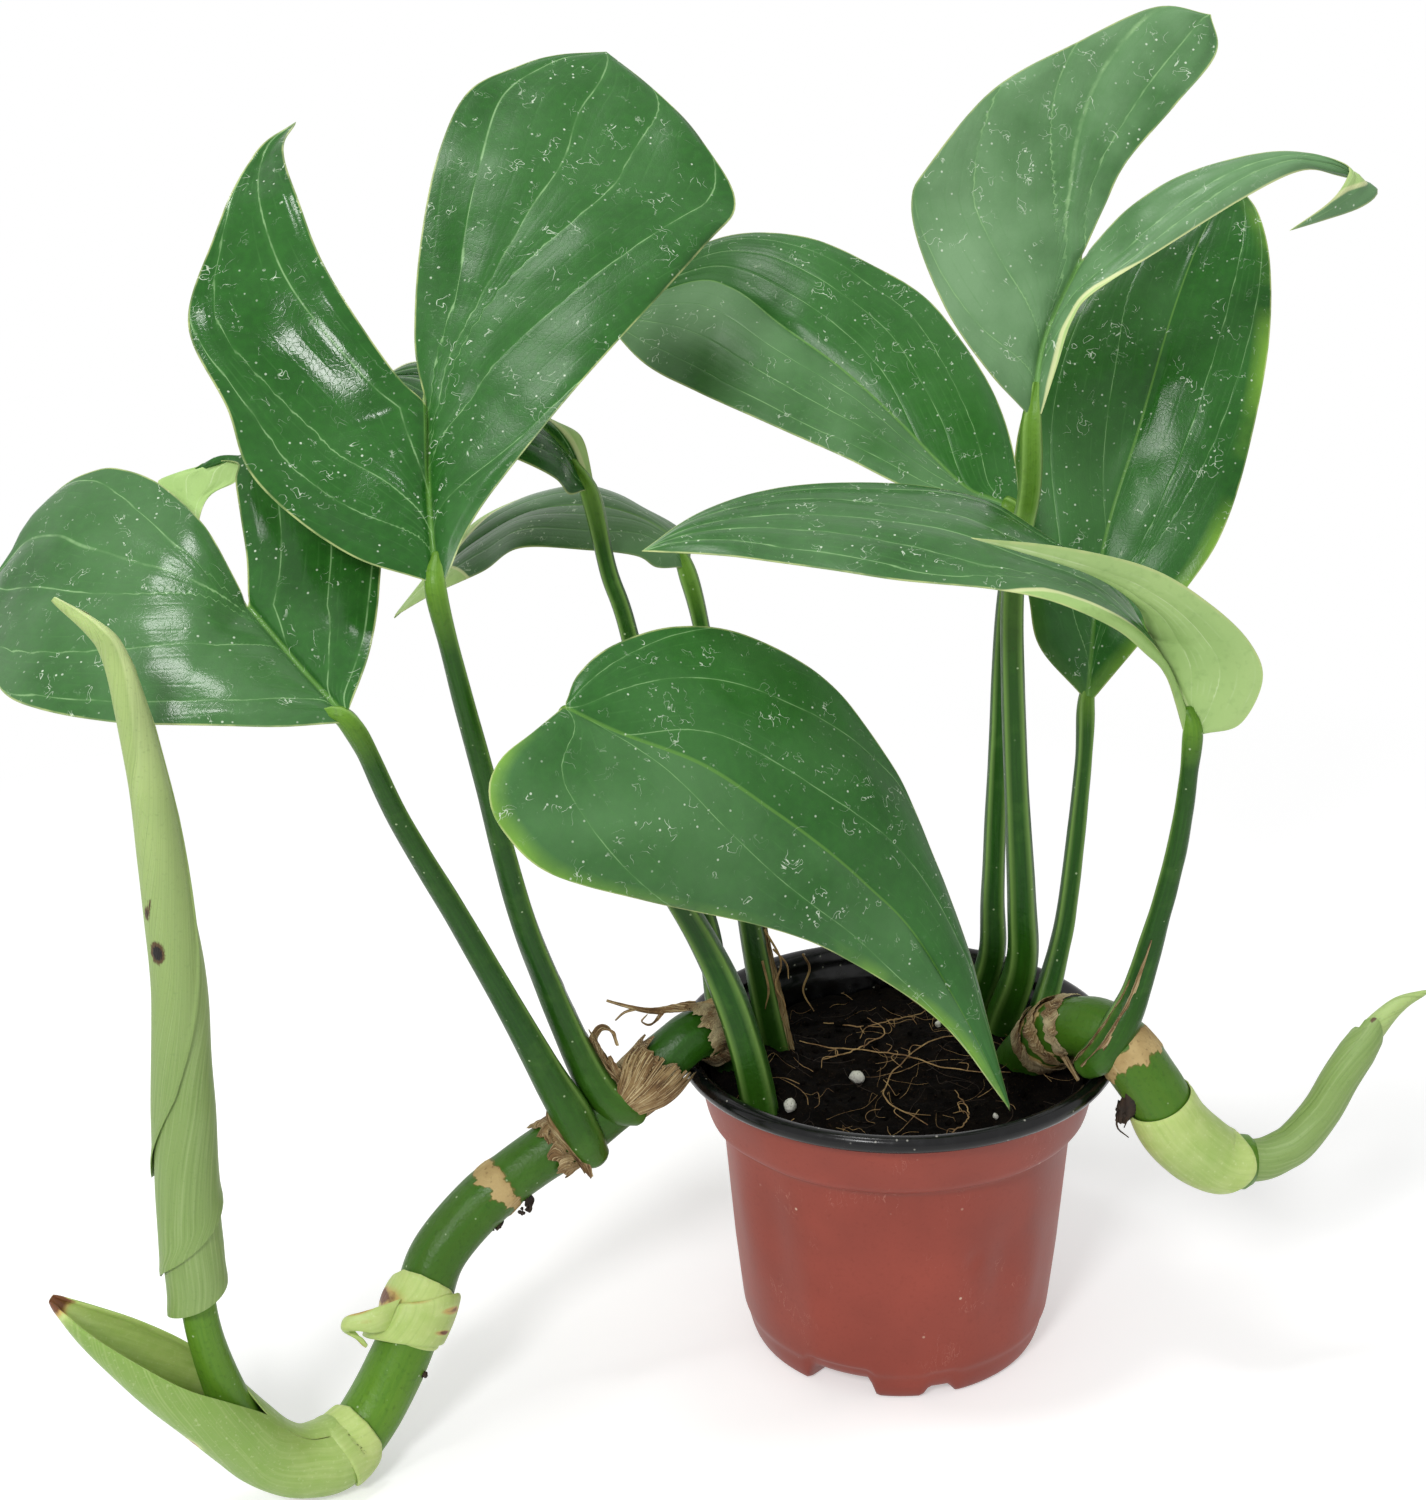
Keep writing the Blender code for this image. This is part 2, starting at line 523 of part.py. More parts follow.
def build_soil():
    around = 40
    steps = (0.0, 0.2, 0.4, 0.6, 0.78, 0.92, 1.0)
    sides = ((49.7, 71.8), (46.3, 69.6), (45.7, 62.0), (43.3, 30.0), (41.3, 13.0),
             (38.2, 10.0), (26.0, 1.6))
    verts = [(0, 0, soil_height(0, 0)), (0, 0, 1.6)]
    for k in range(around):
        turn = 2 * math.pi * k / around
        level = soil_height(50 * math.cos(turn), 50 * math.sin(turn))
        edge = 49.7 + (level - 71.8) * 0.27
        for step in steps[1:]:
            x = edge * step * math.cos(turn)
            y = edge * step * math.sin(turn)
            verts.append((x, y, level if step == 1.0 else soil_height(x, y)))
        for radius, height in sides:
            verts.append((radius * math.cos(turn), radius * math.sin(turn), height))
    count = len(steps) - 1 + len(sides)
    faces = []
    for k in range(around):
        here = 2 + k * count
        there = 2 + (k + 1) % around * count
        faces.append((0, here, there))
        faces.append((1, there + count - 1, here + count - 1))
        for p in range(count - 1):
            faces.append((here + p, here + p + 1, there + p + 1, there + p))
    return add_object("soil", verts, faces, soil_material)


soil = build_soil()
carve(soil, left_cane_room, right_cane_room)
for stalk_name in ("stalk_back_centre", "stalk_front", "stalk_upper_right",
                   "stalk_middle_right", "stalk_tall_right"):
    carve(soil, cutter(stalk_name + "_room", STALKS[stalk_name][0], STALK_RADII, 16, 8))


def lump(centre, size, seed):
    """A small rough grain."""
    work = bmesh.new()
    bmesh.ops.create_icosphere(work, subdivisions=1, radius=1.0)
    rng = random.Random(seed)
    verts = []
    for vert in work.verts:
        reach = size * rng.uniform(0.8, 1.0)
        verts.append((centre[0] + vert.co.x * reach, centre[1] + vert.co.y * reach,
                      centre[2] + vert.co.z * reach * 0.8))
    faces = [tuple(v.index for v in face.verts) for face in work.faces]
    work.free()
    return verts, faces


PERLITE = ((-30, -22, 2.4), (-11, -6, 2.1), (24, -28, 1.2), (14, 24, 1.2))
for number, (x, y, size) in enumerate(PERLITE, 1):
    resting = (x, y, soil_height(x, y) + size * 0.8 + 0.35)
    add_object(f"perlite_grain_{number}", *lump(resting, size, number), perlite_material)

# dry roots lying in loops on the peat: plan routes (x, y)
ROOTS = (((6, -30), (-4, -17), (-1, -3), (10, 12), (24, 16), (27, 8)),
         ((-26, 12), (-14, 9), (2, 4), (14, -5), (30, -12)),
         ((-18, 28), (-6, 25), (6, 29), (14, 34)),
         ((-20, -2), (-10, 6), (-2, 14), (-6, 24)),
         ((10, -38), (17, -27), (15, -14)))
ROOT_RADIUS = 0.45
lying = []
for route in ROOTS:
    points = [(x, y, soil_height(x, y) + ROOT_RADIUS + 0.5) for x, y in route]
    flat = spline(points, 16)
    for point in flat:
        point[2] = soil_height(point[0], point[1]) + ROOT_RADIUS + 0.5
    lying.append(flat)
for index, height in ((1, 1.5), (3, 3.0)):
    lying[index][:, 2] += height
for number, flat in enumerate(lying, 1):
    tube(f"soil_root_{number}", flat, ((0, ROOT_RADIUS), (1, ROOT_RADIUS)), root_material, 14, 5)


# ---- Sheaths ---------------------------------------------------------------


def lofted(name, sections, rows, columns, mat, thickness=SHEATH):
    """A thin skin through cross-sections that each have the same number of points."""
    lengthwise = [spline([section[k] for section in sections], rows)
                  for k in range(len(sections[0]))]
    grid = [list(spline([line[r] for line in lengthwise], columns)) for r in range(rows)]
    return sheet(name, grid, thickness, mat)


wrap("collar_sheath", LEFT_CANE, LEFT_CANE_RADII, (0.73, 0.845), (-150, 150),
     fresh_sheath_material, flare=(0.4, 0.8))
wrap("end_collar", LEFT_CANE, LEFT_CANE_RADII, (0.925, 0.998), (25, 335),
     fresh_sheath_material, flare=(0.5, 0.0), rows=5, columns=15)
boat = lofted("boat_sheath", (
    ((-145.6, -79.4, 14), (-152.6, -73.6, 0.9), (-158.4, -66.6, 14)),
    ((-161, -86, 16), (-161, -79, 3.5), (-166, -70, 16)),
    ((-168, -91, 30), (-168, -84, 15), (-171, -73, 28)),
    ((-176, -93, 43), (-178, -89, 27), (-176, -76, 41)),
    ((-187, -98, 57), (-190, -92, 41), (-188, -83, 57)),
    ((-198, -99, 68), (-200, -95, 55), (-198, -88, 69)),
    ((-207, -98, 75), (-208, -97, 73), (-207, -96, 76))), 14, 11, fresh_sheath_material)
carve(boat, cutter("new_stalk_room", NEW_STALK, NEW_STALK_RADII, 10))
wrap("tip_sheath", RIGHT_CANE, RIGHT_CANE_RADII, (0.75, 0.985), (-160, 160),
     fresh_sheath_material, clearance=0.45, flare=(0.3, 0.0), rows=7, columns=11)
wrap("pot_side_ring", LEFT_CANE, LEFT_CANE_RADII, (0.215, 0.285), (-44, 45),
     dry_sheath_material, flare=(0.4, 1.2))
wrap("fan_sheath", LEFT_CANE, LEFT_CANE_RADII, (0.335, 0.40), (-150, 20),
     dry_sheath_material, flare=(1.5, 0.2))
wrap("heel_sheath", LEFT_CANE, LEFT_CANE_RADII, (0.475, 0.535), (-150, -10),
     dry_sheath_material, flare=(0.6, 1.6))
wrap("right_rings", RIGHT_CANE, RIGHT_CANE_RADII, (0.33, 0.44), (-80, 50),
     dry_sheath_material, flare=(0.8, 0.8))
lofted("long_strip", (((-57, -15, 106.6), (-58.5, -18.5, 106.2)),
                      ((-64, -18, 107.5), (-65, -21, 106.5)),
                      ((-70, -20, 109), (-70.5, -22, 108)),
                      ((-76, -21.5, 112), (-76.3, -22.5, 111.4))), 8, 3, dry_sheath_material)
lofted("curl_sheath", (((-77, -28, 94.1), (-73.5, -26, 93.2)), ((-79.5, -27, 98), (-76.5, -25, 98)),
                       ((-80.5, -28.5, 104), (-78, -26, 105)), ((-78, -29, 108), (-76, -26, 107)),
                       ((-75.5, -29, 104), (-74.5, -26, 104)),
                       ((-76, -28.5, 100), (-75, -26, 101))), 12, 3, dry_sheath_material)
lofted("collar_flap", (((-132.5, -54.4, 47.4), (-135.5, -59.8, 40)), ((-138, -57, 46), (-139.5, -62, 38)),
                       ((-143, -58, 43.5), (-143, -61, 36)),
                       ((-147, -58, 41.5), (-145, -60, 37))), 7, 4, fresh_sheath_material)
wrap("strip_upper_left", STALKS["stalk_upper_left"][0], STALK_RADII, (0.12, 0.4), (-100, -20),
     dry_sheath_material, flare=(0.8, 0.0), columns=4)
wrap("strip_back_centre", STALKS["stalk_back_centre"][0], STALK_RADII, (0.15, 0.34), (50, 130),
     dry_sheath_material, flare=(0.5, 0.4), columns=4)
wrap("strip_arched_right", STALKS["stalk_arched_right"][0], STALK_RADII, (0.12, 0.36), (50, 120),
     dry_sheath_material, flare=(0.4, 0.8), columns=4)

# ---- Roots and fibres ------------------------------------------------------

# short stubs of air roots under the left cane: (start inside the cane, end)
ROOT_STUBS = (((-83, -27, 79), (-82, -29.5, 69)), ((-101, -34, 69), (-100, -37, 59)),
              ((-109, -37, 64.5), (-108, -40.5, 55)), ((-134, -56, 28), (-127, -59, 19)))
for number, (start, end) in enumerate(ROOT_STUBS, 1):
    middle = [(a + b) / 2 for a, b in zip(start, end)]
    stub = tube(f"root_stub_{number}", (start, middle, end), ((0, 2.2), (0.6, 1.6), (1, 0.9)),
                root_material, 5, 6)
    carve(stub, left_cane_room)
rim_root = tube("rim_root", ((57, -28, 97), (59, -31.5, 90), (55.5, -31.5, 84),
                             (52, -30.5, 77)), ((0, 2.2), (0.6, 2.4), (1, 1.1)), root_material, 8, 7)
carve(rim_root, right_cane_room)
tube("dry_fibre", ((-35.2, 10, 117), (-31, 7, 109), (-32, 6, 102), (-30, 6, 96)),
     ((0, 0.5), (1, 0.4)), root_material, 8, 5)
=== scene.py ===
import functools
import math
import random

import bmesh
import bpy
import numpy as np
from mathutils import Matrix, Vector, noise


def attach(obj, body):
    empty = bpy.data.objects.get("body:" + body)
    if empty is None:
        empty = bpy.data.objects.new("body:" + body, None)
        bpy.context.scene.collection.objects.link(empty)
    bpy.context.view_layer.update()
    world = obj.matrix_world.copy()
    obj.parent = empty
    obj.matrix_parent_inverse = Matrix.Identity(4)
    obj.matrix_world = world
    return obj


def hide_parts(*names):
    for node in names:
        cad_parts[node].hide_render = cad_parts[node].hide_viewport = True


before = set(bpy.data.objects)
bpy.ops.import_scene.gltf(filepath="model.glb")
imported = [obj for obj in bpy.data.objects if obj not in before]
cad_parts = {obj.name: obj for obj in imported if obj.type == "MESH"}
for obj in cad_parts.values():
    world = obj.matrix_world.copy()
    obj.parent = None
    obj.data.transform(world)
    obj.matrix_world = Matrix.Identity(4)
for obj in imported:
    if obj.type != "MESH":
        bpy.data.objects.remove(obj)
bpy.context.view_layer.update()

# ---- Nursery pot -----------------------------------------------------------
# A round pot, thermoformed from one sheet of polystyrene that is terracotta red on its
# outside and black on its inside. The rim is rolled over, so the black side shows there,
# and arches pressed into the foot let water out.

MM = 0.001
POT_HEIGHT = 90.5
RIM_RADIUS = 60.0
FOOT_RADIUS = 40.3
FLAT_FLOOR = 27.0  # radius out to which the arches leave the floor flat
FLOOR_THICKNESS = 1.2
RED_ENDS = 85.8  # height where the red skin goes under the black roll of the rim
# skins as (radius, height), from the foot up over the rim and down inside
OUTER_SKIN = ((38.8, 0.0), (FOOT_RADIUS, 1.0), (41.3, 4.0), (42.2, 8.4), (42.8, 8.9), (43.2, 12.0),
              (45.0, 30.0), (47.4, 62.0), (48.0, 68.0), (48.6, 68.7), (51.4, 69.9), (52.0, 71.0),
              (55.1, 84.6), (55.4, RED_ENDS))
ROLLED_RIM = ((57.4, 85.4), (59.2, 85.9), (RIM_RADIUS, 87.2), (RIM_RADIUS, 89.2), (59.2, 90.2),
              (58.2, POT_HEIGHT), (57.0, 90.4), (55.8, 89.4))
INNER_SKIN = ((55.2, 86.4), (54.9, 84.0), (54.0, 83.4), (51.4, 72.4), (50.2, 71.2), (46.8, 69.2),
              (46.2, 62.0), (43.8, 30.0), (41.8, 12.0), (39.6, 2.4), (33.0, 1.7),
              (FLAT_FLOOR, FLOOR_THICKNESS), (12.0, FLOOR_THICKNESS))
FLOOR_SKIN = ((12.0, 0.0), (FLAT_FLOOR, 0.0), (33.0, 0.0))
# arches pressed into the foot: (middle, width) in degrees, and height
ARCHES = ((244.0, 22.0, 6.0), (283.0, 7.0, 3.0), (4.0, 22.0, 6.0),
          (43.0, 7.0, 3.0), (124.0, 22.0, 6.0), (163.0, 7.0, 3.0))
# dents from handling: angle, height, spread in degrees, spread in mm, depth
DENTS = ((222, 46, 7, 22, -0.9), (236, 30, 5, 16, 0.6), (205, 50, 8, 24, 0.7),
         (304, 38, 6, 14, -0.9), (318, 30, 7, 16, 0.6), (292, 44, 2.2, 3, -0.7),
         (268, 80, 14, 6, 0.3), (110, 40, 8, 20, -0.8), (60, 36, 10, 16, 0.6),
         (150, 52, 7, 20, -0.6), (20, 40, 8, 18, -0.5))


def linear(hex_colour):
    """An sRGB hex colour as the linear RGBA that a shader takes."""
    channels = [int(hex_colour[i:i + 2], 16) / 255 for i in (1, 3, 5)]
    return [c / 12.92 if c <= 0.04045 else ((c + 0.055) / 1.055) ** 2.4 for c in channels] + [1.0]


def per_mm(size):
    """Scale of a noise whose grains are this many millimetres."""
    return 1000.0 / size


def plug(socket, source):
    """Feed a socket with a plain value, a hex colour, another socket or a node's first output."""
    if isinstance(source, bpy.types.Node):
        source = next(output for output in source.outputs if output.enabled)
    if isinstance(source, bpy.types.NodeSocket):
        socket.id_data.links.new(source, socket)
    else:
        socket.default_value = linear(source) if isinstance(source, str) else source


def add_node(tree, kind, *inputs, **named):
    """Add one shader node, fed in the order of its inputs or by their capitalised names.

    The names in lower case are its settings.
    """
    made = tree.nodes.new("ShaderNode" + kind)
    for key, value in named.items():
        if key[0].islower():
            setattr(made, key, value)
    for socket, source in zip([socket for socket in made.inputs if socket.enabled], inputs):
        plug(socket, source)
    for key, source in named.items():
        if key[0].isupper():
            plug(made.inputs[key], source)
    return made


def new_material(name, roughness, ior=1.5, **sockets):
    """A Principled material, what adds nodes to it, its shader and the piece's coordinates."""
    mat = bpy.data.materials.new(name)
    mat.use_nodes = True
    add = functools.partial(add_node, mat.node_tree)
    shader = mat.node_tree.nodes["Principled BSDF"]
    shader.inputs["Roughness"].default_value = roughness
    shader.inputs["IOR"].default_value = ior
    for key, value in sockets.items():
        shader.inputs[key.replace("_", " ")].default_value = value
    return mat, add, shader, add("TexCoord").outputs["Object"]


def make_piece(name, points, faces, materials, nodes=(), slot=None, picks=None, marks=None,
               sharp=50):
    """One mesh piece from points in millimetres. It rides on the plant's only body."""
    mesh = bpy.data.meshes.new(name)
    mesh.from_pydata((np.asarray(points, float) * MM).tolist(), [], [tuple(f) for f in faces])
    for mat in materials:
        mesh.materials.append(mat)
    if picks is not None:
        mesh.polygons.foreach_set("material_index", picks)
    for key, values in (marks or {}).items():
        layer = mesh.attributes.new(key, "FLOAT_VECTOR", "POINT")
        layer.data.foreach_set("vector", np.asarray(values, np.float32).ravel())
    mesh.polygons.foreach_set("use_smooth", [True] * len(mesh.polygons))
    mesh.set_sharp_from_angle(angle=math.radians(sharp))
    obj = bpy.data.objects.new(name, mesh)
    bpy.context.scene.collection.objects.link(obj)
    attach(obj, "root")
    if nodes:
        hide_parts(*nodes)
    return obj


def resample(profile, step):
    """Points at about equal steps along straight runs, with the corners slightly rounded."""
    given = np.array(profile, float)
    dense = []
    for a, b in zip(given[:-1], given[1:]):
        parts = max(1, round(np.linalg.norm(b - a) / step))
        dense += [a + (b - a) * k / parts for k in range(parts)]
    dense = np.array(dense + [given[-1]])
    rounded = dense.copy()
    rounded[1:-1] = 0.25 * dense[:-2] + 0.5 * dense[1:-1] + 0.25 * dense[2:]
    return rounded


def build_pot(red, black):
    """The pot as one profile turned round, with the arches and dents pressed into it."""
    skins = [resample(skin, 1.1) for skin in (FLOOR_SKIN + OUTER_SKIN, ROLLED_RIM, INNER_SKIN)]
    profile = np.vstack(skins)
    around = 216
    turn = np.linspace(0, 2 * math.pi, around, endpoint=False)[:, None]
    degrees = np.degrees(turn)
    radius, height = (np.repeat(profile[None, :, k], around, 0) for k in (0, 1))
    lift = np.zeros_like(radius)
    for middle, width, rise in ARCHES:
        off = np.abs((degrees - middle + 180) % 360 - 180)
        flank = np.clip((width / 2 + 4.0 - off) / 4.0, 0, 1)
        flank = flank * flank * (3 - 2 * flank)
        ramp = np.clip((radius - FLAT_FLOOR) / (FOOT_RADIUS - FLAT_FLOOR), 0, 1)
        lift = np.maximum(lift, rise * flank * ramp)
    push = 0.25 * np.sin(2 * turn + 1.0) + 0.2 * np.sin(3 * turn + 2.2)
    push = push * height / POT_HEIGHT
    for angle, level, wide, tall, depth in DENTS:
        off = (degrees - angle + 180) % 360 - 180
        push = push + depth * np.exp(-(off / wide) ** 2 - ((height - level) / tall) ** 2)
    push *= np.clip(height / 8, 0, 1) * np.clip((POT_HEIGHT - height) / 12, 0.15, 1)
    shaped = radius + push
    level = height + lift * np.clip(1 - height / 12, 0, 1)
    ring = np.stack((shaped * np.cos(turn), shaped * np.sin(turn), level), -1)
    count = len(profile)
    points = np.vstack((ring.reshape(-1, 3), ((0, 0, 0), (0, 0, FLOOR_THICKNESS))))
    faces, picks = [], []
    for k in range(around):
        here = k * count
        there = (k + 1) % around * count
        for p in range(count - 1):
            faces.append((here + p, there + p, there + p + 1, here + p + 1))
            picks.append(0 if p < len(skins[0]) else 1)
        faces.append((len(points) - 2, there, here))
        faces.append((len(points) - 1, here + count - 1, there + count - 1))
        picks += [0, 1]
    return make_piece("nursery_pot", points, faces, (red, black), ("pot",), "pot_plastic", picks)


# Thermoformed polystyrene, red side: satin, with the faint orange peel of the mould, soil
# dust in pale specks, and short rubs from handling.
terracotta, add, shader, here = new_material("terracotta_polystyrene", 0.42, 1.4)
cloud = add("TexNoise", here, Scale=per_mm(26), Detail=4.0)
grain = add("TexNoise", here, Scale=per_mm(1.1), Detail=3.0)
speck = add("TexVoronoi", here, Scale=per_mm(5.5))
sparse = add("TexNoise", here, Scale=per_mm(17), Detail=2.0)
dust = add("Math", add("MapRange", speck.outputs["Distance"], 0.09, 0.05),
           add("MapRange", sparse, 0.56, 0.62), operation="MULTIPLY")
squeezed = add("Mapping", here, Scale=(1.0, 1.0, 0.35))
rub_line = add("TexNoise", squeezed, Scale=per_mm(3.2), Detail=5.0, Distortion=1.2)
off_rub = add("Math", add("Math", rub_line, 0.5, operation="SUBTRACT"), operation="ABSOLUTE")
rub = add("Math", add("MapRange", off_rub, 0.006, 0.002), add("MapRange", sparse, 0.6, 0.66),
          operation="MULTIPLY")
colour = "#8E3D2F"
for mask, shade in (
        (add("MapRange", cloud, 0.35, 0.7), "#9E4738"),
        (add("MapRange", grain, 0.55, 0.8, 0.0, 0.35), "#7A2F24"),
        (add("Math", rub, 0.5, operation="MULTIPLY"), "#C98B7A"),
        (add("Math", dust, 0.85, operation="MULTIPLY"), "#DDBFA9")):
    colour = add("Mix", mask, colour, shade, data_type="RGBA")
plug(shader.inputs["Base Color"], colour)
plug(shader.inputs["Roughness"], add("MapRange", cloud, 0.3, 0.75, 0.36, 0.5))
plug(shader.inputs["Normal"], add("Bump", Height=grain, Strength=0.25, Distance=0.0001))

# The black side of the same sheet: glossier, greyed by dust and lime from the water.
black_side, add, shader, here = new_material("black_polystyrene", 0.22, 1.36)
film = add("TexNoise", here, Scale=per_mm(4), Detail=6.0)
speck = add("TexVoronoi", here, Scale=per_mm(3.4))
colour = "#08080A"
for mask, shade in (
        (add("MapRange", film, 0.5, 0.75, 0.0, 0.6), "#1A1B1D"),
        (add("MapRange", speck.outputs["Distance"], 0.12, 0.05, 0.0, 0.8), "#A8A69E")):
    colour = add("Mix", mask, colour, shade, data_type="RGBA")
plug(shader.inputs["Base Color"], colour)
plug(shader.inputs["Roughness"], add("MapRange", film, 0.35, 0.7, 0.12, 0.32))
plug(shader.inputs["Normal"], add("Bump", Height=film, Strength=0.3, Distance=0.0001))

build_pot(terracotta, black_side)

# ---- Peat ------------------------------------------------------------------
# A root ball of fine dark peat, pressed by hand into the pot and heaped round the stems.
# Its top is loose: crumbs and bits of bark lie on it.

SOIL_LEVEL = 77.0
SOIL_RADIUS = 51.0
LOOSE_RADIUS = 49.5  # nothing loose lies further out, against the pot's wall
CRUMB_COUNT = 330
SOIL_HEAPS = ((-42.0, -2.0, 7.0, 13.0), (40.0, 0.0, 6.0, 15.0), (5.0, 25.0, 2.0, 20.0))
SOIL_SIDES = ((50.6, 73.0), (46.2, 68.6), (45.7, 62.0), (43.3, 30.0), (41.3, 13.0), (38.2, 10.0),
              (26.0, 1.6))


def soil_height(x, y):
    """The smooth level of the peat's top."""
    height = SOIL_LEVEL + 0.4 * math.sin(0.31 * x + 1.0) * math.cos(0.27 * y)
    for cx, cy, rise, spread in SOIL_HEAPS:
        height += rise * math.exp(-((x - cx) ** 2 + (y - cy) ** 2) / (2 * spread ** 2))
    return height


def loose_height(x, y):
    """The same level broken up into clods and crumbs."""
    clod = noise.fractal(Vector((x, y, 3.0)) / 7.0, 0.9, 2.1, 5)
    crumb = noise.fractal(Vector((x, y, 9.0)) / 1.9, 0.8, 2.0, 3)
    return soil_height(x, y) + 1.3 * clod + 0.6 * crumb


def build_soil(peat):
    """The peat ball: a loose top over smooth sides."""
    around, rings = 150, 56
    points = [(0, 0, loose_height(0, 0)), (0, 0, SOIL_SIDES[-1][1])]
    for k in range(around):
        turn = 2 * math.pi * k / around
        c, s = math.cos(turn), math.sin(turn)
        for ring in range(1, rings + 1):
            reach = SOIL_RADIUS * ring / rings
            points.append((reach * c, reach * s, loose_height(reach * c, reach * s)))
        for reach, height in SOIL_SIDES:
            points.append((reach * c, reach * s, height))
    count = rings + len(SOIL_SIDES)
    faces = []
    for k in range(around):
        here = 2 + k * count
        there = 2 + (k + 1) % around * count
        faces.append((0, here, there))
        faces.append((1, there + count - 1, here + count - 1))
        for p in range(count - 1):
            faces.append((here + p, here + p + 1, there + p + 1, there + p))
    return make_piece("peat_ball", points, faces, (peat,), ("soil",), "soil", sharp=180)


def rough_grain(centre, size, rng, roundness):
    """Points and faces of one uneven grain, from an icosahedron split once."""
    sizes = [size * rng.uniform(roundness, 1.15) for _ in GRAIN_POINTS]
    reach = np.array([rng.uniform(roundness, 1.1) for _ in GRAIN_POINTS])[:, None]
    spin = Matrix.Rotation(rng.uniform(0, 6.28), 3,
                           Vector((rng.uniform(-1, 1), rng.uniform(-1, 1), 1)))
    points = np.array(GRAIN_POINTS) * sizes[0] * reach * (1.0, rng.uniform(0.6, 1.0), 0.8)
    return points @ np.array(spin).T + np.array(centre), GRAIN_FACES


def joined(parts):
    """The points and faces of many parts as those of one mesh."""
    faces, total = [], 0
    for points, part_faces, *_ in parts:
        faces += [tuple(i + total for i in face) for face in part_faces]
        total += len(points)
    return np.vstack([part[0] for part in parts]), faces


def bundle(name, parts, skin, nodes=(), slot="dry_root"):
    """One piece from many small parts with rough surfaces."""
    return make_piece(name, *joined(parts), (skin,), nodes, slot, sharp=180)


work = bmesh.new()
bmesh.ops.create_icosphere(work, subdivisions=2, radius=1.0)
GRAIN_POINTS = [tuple(v.co) for v in work.verts]
GRAIN_FACES = [tuple(v.index for v in face.verts) for face in work.faces]
work.free()

# Moist peat: nearly black, dull, with brown fibres.
peat, add, shader, here = new_material("moist_peat", 0.95, 1.15)
clods = add("TexNoise", here, Scale=per_mm(5), Detail=6.0)
fibre = add("TexNoise", here, Scale=per_mm(1.2), Detail=4.0, Distortion=1.5)
colour = "#080605"
for mask, shade in (
        (add("MapRange", clods, 0.45, 0.75), "#15100C"),
        (add("MapRange", fibre, 0.6, 0.8), "#3A2B20"),
        (add("MapRange", fibre, 0.4, 0.3), "#050403")):
    colour = add("Mix", mask, colour, shade, data_type="RGBA")
plug(shader.inputs["Base Color"], colour)
plug(shader.inputs["Normal"], add("Bump", Height=fibre, Strength=0.9, Distance=0.0006))

build_soil(peat)
rng = random.Random(11)
crumbs = []
while len(crumbs) < CRUMB_COUNT:
    x, y = rng.uniform(-50, 50), rng.uniform(-50, 50)
    if math.hypot(x, y) < LOOSE_RADIUS:
        size = rng.choice((0.4, 0.6, 0.6, 0.8, 1.0, 1.5))
        crumbs.append(rough_grain((x, y, loose_height(x, y) + 0.3 * size), size, rng, 0.6))
bundle("peat_crumbs", crumbs, peat, slot="soil")

# ---- Perlite ---------------------------------------------------------------
# White grains of popped volcanic glass, mixed into the peat to keep it open. They are
# light, dull and full of small pits.

PERLITE = ((-30, -22, 2.4), (-11, -6, 2.1), (24, -28, 1.2), (14, 24, 1.2))
perlite, add, shader, here = new_material("expanded_perlite", 0.9)
pits = add("TexVoronoi", here, Scale=per_mm(0.7))
# grey in the pits of the white grains: painted shade in the hollows
plug(shader.inputs["Base Color"],
     add("Mix", add("MapRange", pits, 0.35, 0.1), "#D8D6CC", "#9A978A", data_type="RGBA"))
plug(shader.inputs["Normal"], add("Bump", Height=pits, Strength=0.8, Distance=0.0003))
for number, (x, y, size) in enumerate(PERLITE, 1):
    resting = (x, y, soil_height(x, y) + size * 0.8 + 0.2)
    grain_points, grain_faces = rough_grain(resting, size, random.Random(number), 0.85)
    make_piece(f"perlite_{number}", grain_points, grain_faces, (perlite,),
               (f"perlite_grain_{number}",), "perlite", sharp=180)

# ---- Bare roots ------------------------------------------------------------
# Dry feeding roots and coarse peat fibres lie in loops on the peat. They are straw to
# brown, a quarter to one millimetre thick, and kinked where they branched.


def read_off(place, table):
    """The value at a place, between the (place, value) pairs of a table."""
    return np.interp(place, *np.array(table, float).T)


def distances(path):
    """How far along a path each of its points is."""
    return np.concatenate(([0], np.cumsum(np.linalg.norm(np.diff(path, axis=0), axis=1))))


def spline(points, count):
    """Points at equal steps along a smooth curve through the given ones."""
    given = np.array(points, float)
    padded = np.vstack((2 * given[0] - given[1], given, 2 * given[-1] - given[-2]))
    dense = []
    for a, b, c, d in zip(padded[:-3], padded[1:-2], padded[2:-1], padded[3:]):
        t = np.linspace(0, 1, 12, endpoint=False)[:, None]
        dense.append(0.5 * (2 * b + (c - a) * t + (2 * a - 5 * b + 4 * c - d) * t * t
                            + (3 * b - a - 3 * c + d) * t ** 3))
    dense = np.vstack(dense + [given[-1:]])
    travelled = distances(dense)
    steps = np.linspace(0, travelled[-1], count)
    return np.stack([np.interp(steps, travelled, dense[:, k]) for k in range(given.shape[1])], -1)


def unit(vectors):
    """The same directions, one long."""
    return vectors / np.maximum(np.linalg.norm(vectors, axis=-1, keepdims=True), 1e-9)


def frames_along(path):
    """Tangent, side and up vectors that turn as little as they can along a path."""
    tangents = unit(np.gradient(path, axis=0))
    up = np.array((0.0, 0.0, 1.0) if abs(tangents[0][2]) < 0.9 else (0.0, -1.0, 0.0))
    ups = []
    for tangent in tangents:
        up = unit(up - (up @ tangent) * tangent)
        ups.append(up)
    ups = np.array(ups)
    return tangents, np.cross(tangents, ups), ups


DOME = 0.45  # how far a bar's end bulges, as a part of its radius


